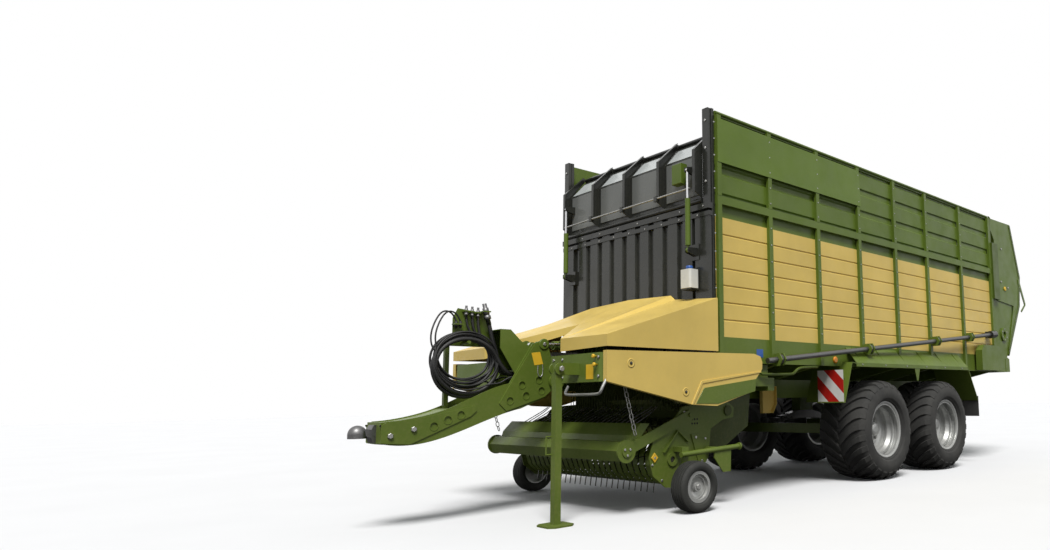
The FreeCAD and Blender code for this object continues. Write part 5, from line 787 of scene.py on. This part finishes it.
LINK_BOLTS = [(-0.1, 0.575), (-0.03, 0.375)]
SIDE_HOLES = [(y, z) for y in (-0.13, -0.1, -0.07) for z in (0.69, 0.725)]
SIDE_HOLE = [(0.0, 0.009), (0.0008, 0.009)]
MARKER = [(-0.583, 0.435), (-0.548, 0.396), (-0.513, 0.435), (-0.548, 0.474)]
MARKER_BOLT = (-0.548, 0.435)
COMB_WIRES, COMB_HALF = 44, 0.86
COMB_WAY = [(-0.02, 1.1, 0), (-0.075, 1.0, 0), (-0.1, 0.9, 1), (-0.09, 0.8, 1)]


def build_press_trim():
    """Spring wires that lean back from the crop press, and the bolts on its round end plates."""
    wire_row("guard_wire", GUARD_WIRES, GUARD_HALF, GUARD_WAY, "bare_steel", "crop_press", diameter=0.008,
             sway=0.02, rate=5.0)
    low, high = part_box("crop_press")
    bolts = circle(PRESS_END, PRESS_BOLT_CIRCLE, PRESS_BOLT_ANGLES)
    for side, out in SIDES:
        face = high.x if out > 0 else -low.x
        side_studs("press_bolts_" + side, out, face, bolts, "crop_press", r=0.01, high=0.008)


def build_pickup_trim():
    """Ribs, bolts, holes and markers on the pick-up's side plates, and the comb of wires in its mouth."""
    added_face = PICKUP_FACE + ADDED_THICK - BEDDED
    for side, out in SIDES:
        side_studs("side_bolts_" + side, out, PICKUP_FACE, SIDE_BOLTS, "pickup", r=0.011, high=0.008)
        for i, (start, end) in enumerate(SIDE_RIBS):
            side_plate("side_rib_%s_%d" % (side, i), strip(start, end, RIB_WIDE), out, PICKUP_FACE, RIB_HIGH,
                       "green_paint", "pickup")
        side_plate("link_plate_" + side, LINK_PLATE, out, PICKUP_FACE, ADDED_THICK, "green_paint", "pickup")
        side_studs("link_bolts_" + side, out, added_face, LINK_BOLTS, "pickup", r=0.013, high=0.01)
        for i, place in enumerate(on_side(out, PICKUP_FACE, SIDE_HOLES)):
            # the holes are thin near-black discs: painted shade
            lathe("side_hole_%s_%d" % (side, i), SIDE_HOLE, place, (out, 0, 0), "hole", "pickup", sides=12)
        side_plate("marker_" + side, MARKER, out, PICKUP_FACE, ADDED_THICK, "label", "pickup")
        side_studs("marker_bolt_" + side, out, added_face, [MARKER_BOLT], "pickup", r=0.01, high=0.006)
    # the comb wires take the darkened channel green, which carries painted shade
    wire_row("comb_wire", COMB_WIRES, COMB_HALF, COMB_WAY, "channel", "wagon", diameter=0.007,
             sway=0.006, rate=7.0)


# ---------------- front wall and flap
FLAP_SKIN_Y = -0.02  # front of the flap's sheet
FLAP_FOOT_Z = 2.69
FLAP_BEND, FLAP_TOP = (-0.02, 3.06), (0.19, 3.29)  # y, z
FLAP_NORMAL = (-0.74, 0.67)  # out of the slope above the bend, in y and z
FLAP_RIBS = [-1.011 + 0.5055 * i for i in range(5)]
FIRST_GAP, NEXT_GAP, LAST_GAP = 0.04, 0.01, 0.04  # after a rib, before the next, before the last
BEND_GAP = 0.012
SLOPE_SHARES = (0.03, 0.72)  # where a pale panel starts and ends on the slope
PANEL_THICK = 0.006
FLAP_PIPE = [(-0.96, 2.712), (-0.7, 2.716), (-0.45, 2.722), (0.0, 2.726), (0.45, 2.73),
             (0.7, 2.732), (0.96, 2.735)]  # x, z
FLAP_PIPE_Y = -0.122
CLIP_HALF, CLIP_FOOT_Z, CLIP_HIGH = 0.02, 2.7, 0.05
CLIP_Y = (-0.134, -0.11)
SENSOR_BOX, SENSOR_BOX_Y = box_outline(0.745, 2.8, 0.12, 0.185), (-0.14, -0.06)
SENSOR_BRACKET, SENSOR_BRACKET_Y = box_outline(0.78, 2.83, 0.05, 0.12), (-0.061, -0.022)
WALL_POST = (1.075, -0.034)  # x and y of the bolts on the wall's posts
WALL_POST_BOLTS = (3.346, 3.093, 2.79)
CROSSBAR_ROWS = [(8, -1.05, 0.3, -0.048, 2.572), (9, -0.95, 0.24, -0.04, 2.502)]  # count, x, pitch, y, z
CANISTER_NECK = (0.92, -0.097, 2.02)
CANISTER_CAP = [(0.0, 0.031), (0.026, 0.031), (0.03, 0.026)]


def build_flap_panel(number, lo, hi):
    """Grey panel between two ribs of the flap, and the pale one on the slope above it; their grey is painted
    sheen and painted sky reflection on the black flap.
    """
    top = FLAP_BEND[1] - BEND_GAP
    outline = [(lo, FLAP_FOOT_Z), (hi, FLAP_FOOT_Z), (hi, top), (lo, top)]
    plate("flap_sheet_%d" % number, "y", outline, FLAP_SKIN_Y - PANEL_THICK, FLAP_SKIN_Y + BEDDED, "panel",
          "front_flap")
    verts = []
    for share in SLOPE_SHARES:
        y = FLAP_BEND[0] + (FLAP_TOP[0] - FLAP_BEND[0]) * share
        z = FLAP_BEND[1] + (FLAP_TOP[1] - FLAP_BEND[1]) * share
        for off in (0.0, PANEL_THICK):
            verts += [from_wall(x, y + off * FLAP_NORMAL[0], z + off * FLAP_NORMAL[1]) for x in (lo, hi)]
    faces = [(0, 1, 3, 2), (4, 5, 7, 6), (0, 1, 5, 4), (2, 3, 7, 6), (0, 2, 6, 4), (1, 3, 7, 5)]
    mesh_piece("flap_slope_%d" % number, verts, faces, "pale_panel", "front_flap")


def build_flap_trim():
    """Panels between the flap's ribs, the pipe with its clips along the hinge, and the sensor box."""
    last = len(FLAP_RIBS) - 2
    for i, (start, end) in enumerate(zip(FLAP_RIBS, FLAP_RIBS[1:])):
        build_flap_panel(i, start + FIRST_GAP, end - (LAST_GAP if i == last else NEXT_GAP))
    line = [from_wall(x, FLAP_PIPE_Y, z) for x, z in FLAP_PIPE]
    pipe("flap_pipe", line, "zinc", "front_flap", diameter=0.016)
    for i, x in enumerate(FLAP_RIBS[1:-1]):
        outline = box_outline(x - CLIP_HALF, CLIP_FOOT_Z, 2 * CLIP_HALF, CLIP_HIGH)
        plate("pipe_clip_%d" % i, "y", outline, *CLIP_Y, "charcoal_paint", "front_flap")
    plate("sensor_box", "y", SENSOR_BOX, *SENSOR_BOX_Y, "green_paint", "front_flap", edge=0.006)
    plate("sensor_bracket", "y", SENSOR_BRACKET, *SENSOR_BRACKET_Y, "charcoal_paint", "front_flap")


def build_wall_trim():
    """Bolts on the front wall's posts and crossbars, and the canister's cap."""
    x, y = WALL_POST
    for side, out in SIDES:
        bolts = [from_wall(out * x, y, z) for z in WALL_POST_BOLTS]
        studs("post_bolts_" + side, bolts, FORWARD, "wagon", r=0.012, high=0.008)
    bolts = []
    for count, first, pitch, y, z in CROSSBAR_ROWS:
        bolts += [from_wall(first + pitch * i, y, z) for i in range(count)]
    studs("crossbar_bolts", bolts, FORWARD, "wagon", r=0.008, high=0.005)
    lathe("canister_cap", CANISTER_CAP, from_wall(*CANISTER_NECK), (0, 0, 1), "blue", "wagon")


# ---------------- sides
POST_FACE = 1.147  # outer face of the side posts
BOARD_FACE = 1.115  # outer face of the side boards
SIDE_POSTS = [0.75 * i for i in range(6)] + [4.665]
POST_BOLT_HEIGHTS = [1.52 + 0.16 * i for i in range(7)] + [2.72 + 0.15 * i for i in range(5)]
POST_BOLTS = [(y, z) for y in SIDE_POSTS for z in POST_BOLT_HEIGHTS]
GUARD_FACE = 1.252  # outer edge of the mudguards
GUSSETS = [2.05 + 0.45 * i for i in range(6)]
GUSSET = [(1.116, 1.392), (1.122, 1.412), (1.246, 1.246), (1.236, 1.238)]  # x, z
GUSSET_THICK = 0.006
GUARD_BOLTS = [(y, 1.222) for y in GUSSETS]
SIDE_MARKER = [(0.0, 0.034), (0.012, 0.034), (0.018, 0.026)]
SIDE_MARKER_PLACE = (1.752, 1.268)
PIPE_RAIL = [(0.585, 1.15), (0.6, 1.112), (0.7, 1.108), (1.0, 1.112), (1.09, 1.118), (1.13, 1.15),
             (1.18, 1.178), (1.3, 1.186), (1.47, 1.192)]
PIPE_RAIL_X = 1.1
SHAFT_SIDE = "left"
SHAFT_X = 1.206
SHAFT_ENDS = ((0.59, 1.226), (5.33, 1.705))
BEARING_POSTS = (0.75, 2.25, 3.75, 4.665)
BEARING_PLATE = (0.03, 0.066, 0.012)  # inner and outer radius, thickness
BEARING_STEPS = (-0.034, 0.022)  # from a post to the two plates of its bearing
BLUE_LABEL = box_outline(0.545, 1.262, 0.087, 0.073)


def shaft_z(y):
    """Height of the side shaft's axis, which climbs to the rear."""
    (y0, z0), (y1, z1) = SHAFT_ENDS
    return z0 + (y - y0) * (z1 - z0) / (y1 - y0)


def build_bearing_plates():
    """Six-sided plates of the side shaft's bearings."""
    for y in BEARING_POSTS:
        for step in BEARING_STEPS:
            place = from_wall(SHAFT_X, y + step, shaft_z(y + step))
            ring("bearing_plate_%d_%d" % (y * 1000, step > 0), place, (0, 1, 0), "green_paint", "wagon",
                 *BEARING_PLATE, sides=6)


def build_side_trim():
    """Bolts of the posts and mudguards, gussets, markers, pipe rails, bearing plates and a blank label."""
    for side, out in SIDES:
        side_studs("side_post_bolts_" + side, out, POST_FACE, POST_BOLTS, "wagon", r=0.007, high=0.005)
        for i, y in enumerate(GUSSETS):
            outline = [(out * x, z) for x, z in GUSSET]
            plate("guard_gusset_%s_%d" % (side, i), "y", outline, y, y + GUSSET_THICK, "green_paint", "wagon")
        side_studs("guard_bolts_" + side, out, GUARD_FACE, GUARD_BOLTS, "wagon", r=0.009, high=0.006)
        place = from_wall(out * BOARD_FACE, *SIDE_MARKER_PLACE)
        lathe("side_marker_" + side, SIDE_MARKER, place, (out, 0, 0), "amber", "wagon")
        rail = on_side(out, PIPE_RAIL_X, PIPE_RAIL)
        pipe("pipe_rail_" + side, rail, "green_paint", "wagon", diameter=0.028)
        if side == SHAFT_SIDE:
            build_bearing_plates()
    side_plate("blue_label", BLUE_LABEL, 1, BOARD_FACE, 0.002, "blue", "wagon", LABEL_EDGE)


# ---------------- tail
GATE_FACE = 1.123  # outer face of the tailgate's side plates
GATE_REAR = [(6.388, 3.425), (6.652, 2.662), (6.582, 2.206), (6.1, 1.452)]
GATE_INNER = [(6.336, 3.425), (6.6, 2.662), (6.532, 2.222), (6.1, 1.545)]
EDGE_THICK = 0.007
RIVET_PITCH = 0.11
RIVET_OFF = (-0.026, 0.012)  # from the rear edge to the line of rivets, in y and z
GATE_BOSS = [(0.0, 0.032), (0.01, 0.032), (0.014, 0.024)]
GATE_BOSS_PLACE = (6.073, 2.426)
GATE_BOLTS = [(6.184, 2.451), (6.016, 3.018), (5.95, 2.52)]
ROLLER_AXIS = (5.96, 1.745)  # of the low dosing roller
ROLLER_SEAT_X, ROLLER_BOLT_X = 1.111, 1.13
ROLLER_SEAT = (0.046, 0.098, 0.02)  # inner and outer radius, thickness
ROLLER_BOLT_CIRCLE = 0.078
ROLLER_BOLT_ANGLES = [0.5 + 1.05 * i for i in range(6)]


def rivet_spots():
    """Spots of the rivets, at an even pitch along each stretch of the gate's rear edge."""
    spots = []
    for (y0, z0), (y1, z1) in zip(GATE_REAR, GATE_REAR[1:]):
        count = round(hypot(y1 - y0, z1 - z0) / RIVET_PITCH)
        for k in range(count):
            share = (k + 0.5) / count
            spots.append((y0 + (y1 - y0) * share + RIVET_OFF[0], z0 + (z1 - z0) * share + RIVET_OFF[1]))
    return spots


def build_tail_trim():
    """Edges, rivets, bosses and bolts of the gate's side plates, and the low dosing roller's bearings."""
    edge_face = GATE_FACE + EDGE_THICK - BEDDED
    bolts = circle(ROLLER_AXIS, ROLLER_BOLT_CIRCLE, ROLLER_BOLT_ANGLES)
    for side, out in SIDES:
        direction = (out, 0, 0)
        for i in range(len(GATE_REAR) - 1):
            quad = [GATE_REAR[i], GATE_REAR[i + 1], GATE_INNER[i + 1], GATE_INNER[i]]
            # edge strips in the darker green, as painted shade
            side_plate("gate_edge_%s_%d" % (side, i), quad, out, GATE_FACE, EDGE_THICK, "shade_green", "tailgate")
        side_studs("gate_rivets_" + side, out, edge_face, rivet_spots(), "tailgate", r=0.007, high=0.005)
        boss = from_wall(out * GATE_FACE, *GATE_BOSS_PLACE)
        lathe("gate_boss_" + side, GATE_BOSS, boss, direction, "label", "tailgate")
        side_studs("gate_bolts_" + side, out, GATE_FACE, GATE_BOLTS, "tailgate", r=0.016, high=0.012)
        seat = from_wall(out * ROLLER_SEAT_X, *ROLLER_AXIS)
        ring("roller_seat_low_" + side, seat, direction, "green_paint", "wagon", *ROLLER_SEAT)
        side_studs("roller_bolts_low_" + side, out, ROLLER_BOLT_X, bolts, "wagon", r=0.01, high=0.008)


# ---------------- hoses
RING_Y = -1.668  # middle of the hank
STRETCH = 0.043  # the hank is that much longer than high, each way
TURN_STEPS = 14  # points to a turn
UNEVEN = 0.004  # how much the turns' reach varies by chance
WAVE, WAVE_RATE = 0.01, 2.3  # how far, and how fast, a turn wanders sideways low down
# clamp_x is at the drawbar's clamp; reach and across (x) go from the first turn to the last; top is what all
# turns hang from; foot is where the coupler or plug starts
Line = namedtuple("Line", "name diameter clamp_x reach across top foot")
HOSES = [Line("hose_main", 0.034, 0.06, (0.212, 0.232), (0.052, 0.006), 1.402, (0.0, -1.468, 1.523)),
         Line("hose_lift", 0.022, 0.02, (0.182, 0.205), (0.014, -0.04), 1.42, (-0.03, -1.6, 1.56)),
         Line("hose_return", 0.022, -0.02, (0.226, 0.176), (0.036, -0.016), 1.438, (-0.03, -1.55, 1.556)),
         Line("hose_brake", 0.018, -0.05, (0.236, 0.2), (-0.046, 0.022), 1.455, (-0.03, -1.65, 1.564))]
LEADS = [Line("lead_lights", 0.013, 0.085, (0.236, 0.215), (0.066, 0.044), 1.458, (-0.03, -1.695, 1.542)),
         Line("lead_control", 0.013, -0.085, (0.222, 0.196), (-0.01, 0.03), 1.462, (-0.03, -1.73, 1.542))]
# from the clamp to the first turn: share of the way across to it, y, z
HOSE_WAY = [(0.0, -1.262, 1.122), (0.0, -1.3, 1.124), (0.0, -1.345, 1.145), (0.5, -1.395, 1.205),
            (1.0, -1.43, 1.275)]
LEAD_WAY = [(0.0, -1.262, 1.105), (0.0, -1.3, 1.102), (0.0, -1.345, 1.088), (0.5, -1.41, 1.045)]
HOSE_ANGLES = (38.0, 350.0 + 360.0)  # degrees where the turns start and end
LEAD_ANGLES = (310.0, 175.0 - 360.0)
LEAD_SEED = 7
RISE_SHARE, RISE_LOW_Z, RISE_HIGH_Z = 0.3, 1.3, 1.38  # a hose's way from the hank up to its coupler
RISE_DRAW = 0.98  # how much of the hank's reach is left where that way starts
BELOW_COUPLER, IN_COUPLER = 0.075, 0.035  # straight ends of a hose, below its coupler and inside it
MAIN_LEAN = (0.0, -0.262, 0.965)  # way of the main hose's coupler; the others stand upright
# a lead's way from the hank over to its plug: x, y beyond the plug, z
LEAD_ARCH = [(0.03, -0.22, 1.33), (0.03, -0.23, 1.42), (0.018, -0.195, 1.52), (0.0, -0.14, 1.6),
             (-0.015, -0.08, 1.618), (-0.027, -0.023, 1.588), (-0.03, 0.0, 1.536)]
# along, share of the sleeve's radius, for a coupler as long as its last row says
COUPLER = [(0.0, 0.8), (0.03, 0.8), (0.031, 1.15), (0.052, 1.15), (0.053, 0.9), (0.058, 0.9),
           (0.059, 1.0), (0.095, 1.0), (0.096, 0.72), (0.12, 0.72)]
MAIN_COUPLER, SMALL_COUPLER, PLUG = (0.024, 0.177), (0.013, 0.105), (0.012, 0.055)  # sleeve's radius, length


def way_in(line, way):
    """Points from the drawbar's clamp to the first turn."""
    return [from_wall(line.clamp_x + (line.across[0] - line.clamp_x) * share, y, z) for share, y, z in way]


def turns(line, start, end, seed):
    """Points of loose turns that hang from their top.

    Angles are in degrees, 90 at the top and 180 in front.
    """
    rnd = random.Random(seed)
    reach, across = line.reach, line.across
    count = round(abs(end - start) / 360 * TURN_STEPS)
    points = []
    for i in range(count + 1):
        share = i / count
        angle = radians(start + (end - start) * share)
        r = reach[0] + (reach[1] - reach[0]) * share + UNEVEN * rnd.uniform(-1, 1)
        wander = WAVE * sin(WAVE_RATE * angle + seed) * (1.0 - sin(angle)) / 2
        x = across[0] + (across[1] - across[0]) * share + wander
        points.append(from_wall(x, RING_Y + (r + STRETCH) * cos(angle), line.top - r + r * sin(angle)))
    return points


def hose_curve(line, route):
    """A hose or lead that stands for the CAD's simple ones."""
    piece = pipe(line.name, route, "hose_rubber", "drawbar", line.diameter, steps=4, capped=False)
    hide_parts("hose_coil", "hose_leads")
    return piece


def coupler(name, start, direction, size, finish):
    """Hose end with its nut, sleeve and plug; size is the sleeve's radius and the whole length."""
    r, long = size
    profile = [(along / COUPLER[-1][0] * long, share * r) for along, share in COUPLER]
    end = lathe(name, profile, start, direction, finish, "drawbar", slot="bare_steel")
    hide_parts("hose_couplers")
    return end


def build_hose(line, seed):
    """Hydraulic hose from the drawbar's clamp, round the hank and up to its coupler."""
    main = line.name == "hose_main"
    foot_x, foot_y, foot_z = line.foot
    foot = from_wall(foot_x, foot_y, foot_z)
    lean = Vector(MAIN_LEAN if main else (0.0, 0.0, 1.0))
    last_x = line.across[1]
    last = line.reach[1] + STRETCH
    route = way_in(line, HOSE_WAY) + turns(line, *HOSE_ANGLES, seed)
    route += [from_wall(last_x + (foot_x - last_x) * RISE_SHARE, RING_Y + last * RISE_DRAW, RISE_LOW_Z),
              from_wall(foot_x + (last_x - foot_x) * RISE_SHARE, (RING_Y + last + foot_y) / 2, RISE_HIGH_Z),
              foot - BELOW_COUPLER * lean, foot + IN_COUPLER * lean]
    piece = hose_curve(line, route)
    end = coupler(line.name + "_coupler", foot, lean, MAIN_COUPLER if main else SMALL_COUPLER, "bare_steel")


def build_lead(line, seed):
    """Electric lead from the clamp, round the hank and over in an arch, down into its plug."""
    route = way_in(line, LEAD_WAY) + turns(line, *LEAD_ANGLES, seed)
    route += [from_wall(x, line.foot[1] + beyond, z) for x, beyond, z in LEAD_ARCH]
    piece = hose_curve(line, route)
    end = coupler(line.name + "_plug", from_wall(*line.foot), (0.0, 0.0, -1.0), PLUG, "hose_rubber")


def build_hoses():
    """Four hydraulic hoses that end in couplers and two thin leads that end in plugs."""
    for seed, line in enumerate(HOSES):
        build_hose(line, seed)
    for seed, line in enumerate(LEADS):
        build_lead(line, seed + LEAD_SEED)


paint_nodes()
build_floor()
build_sky()
build_sun()
build_camera()
build_hoses()
build_wheels()
build_drawbar_trim()
build_head_trim()
build_cover_trim()
build_press_trim()
build_pickup_trim()
build_flap_trim()
build_wall_trim()
build_side_trim()
build_tail_trim()
bpy.context.scene.view_settings.view_transform = "Standard"
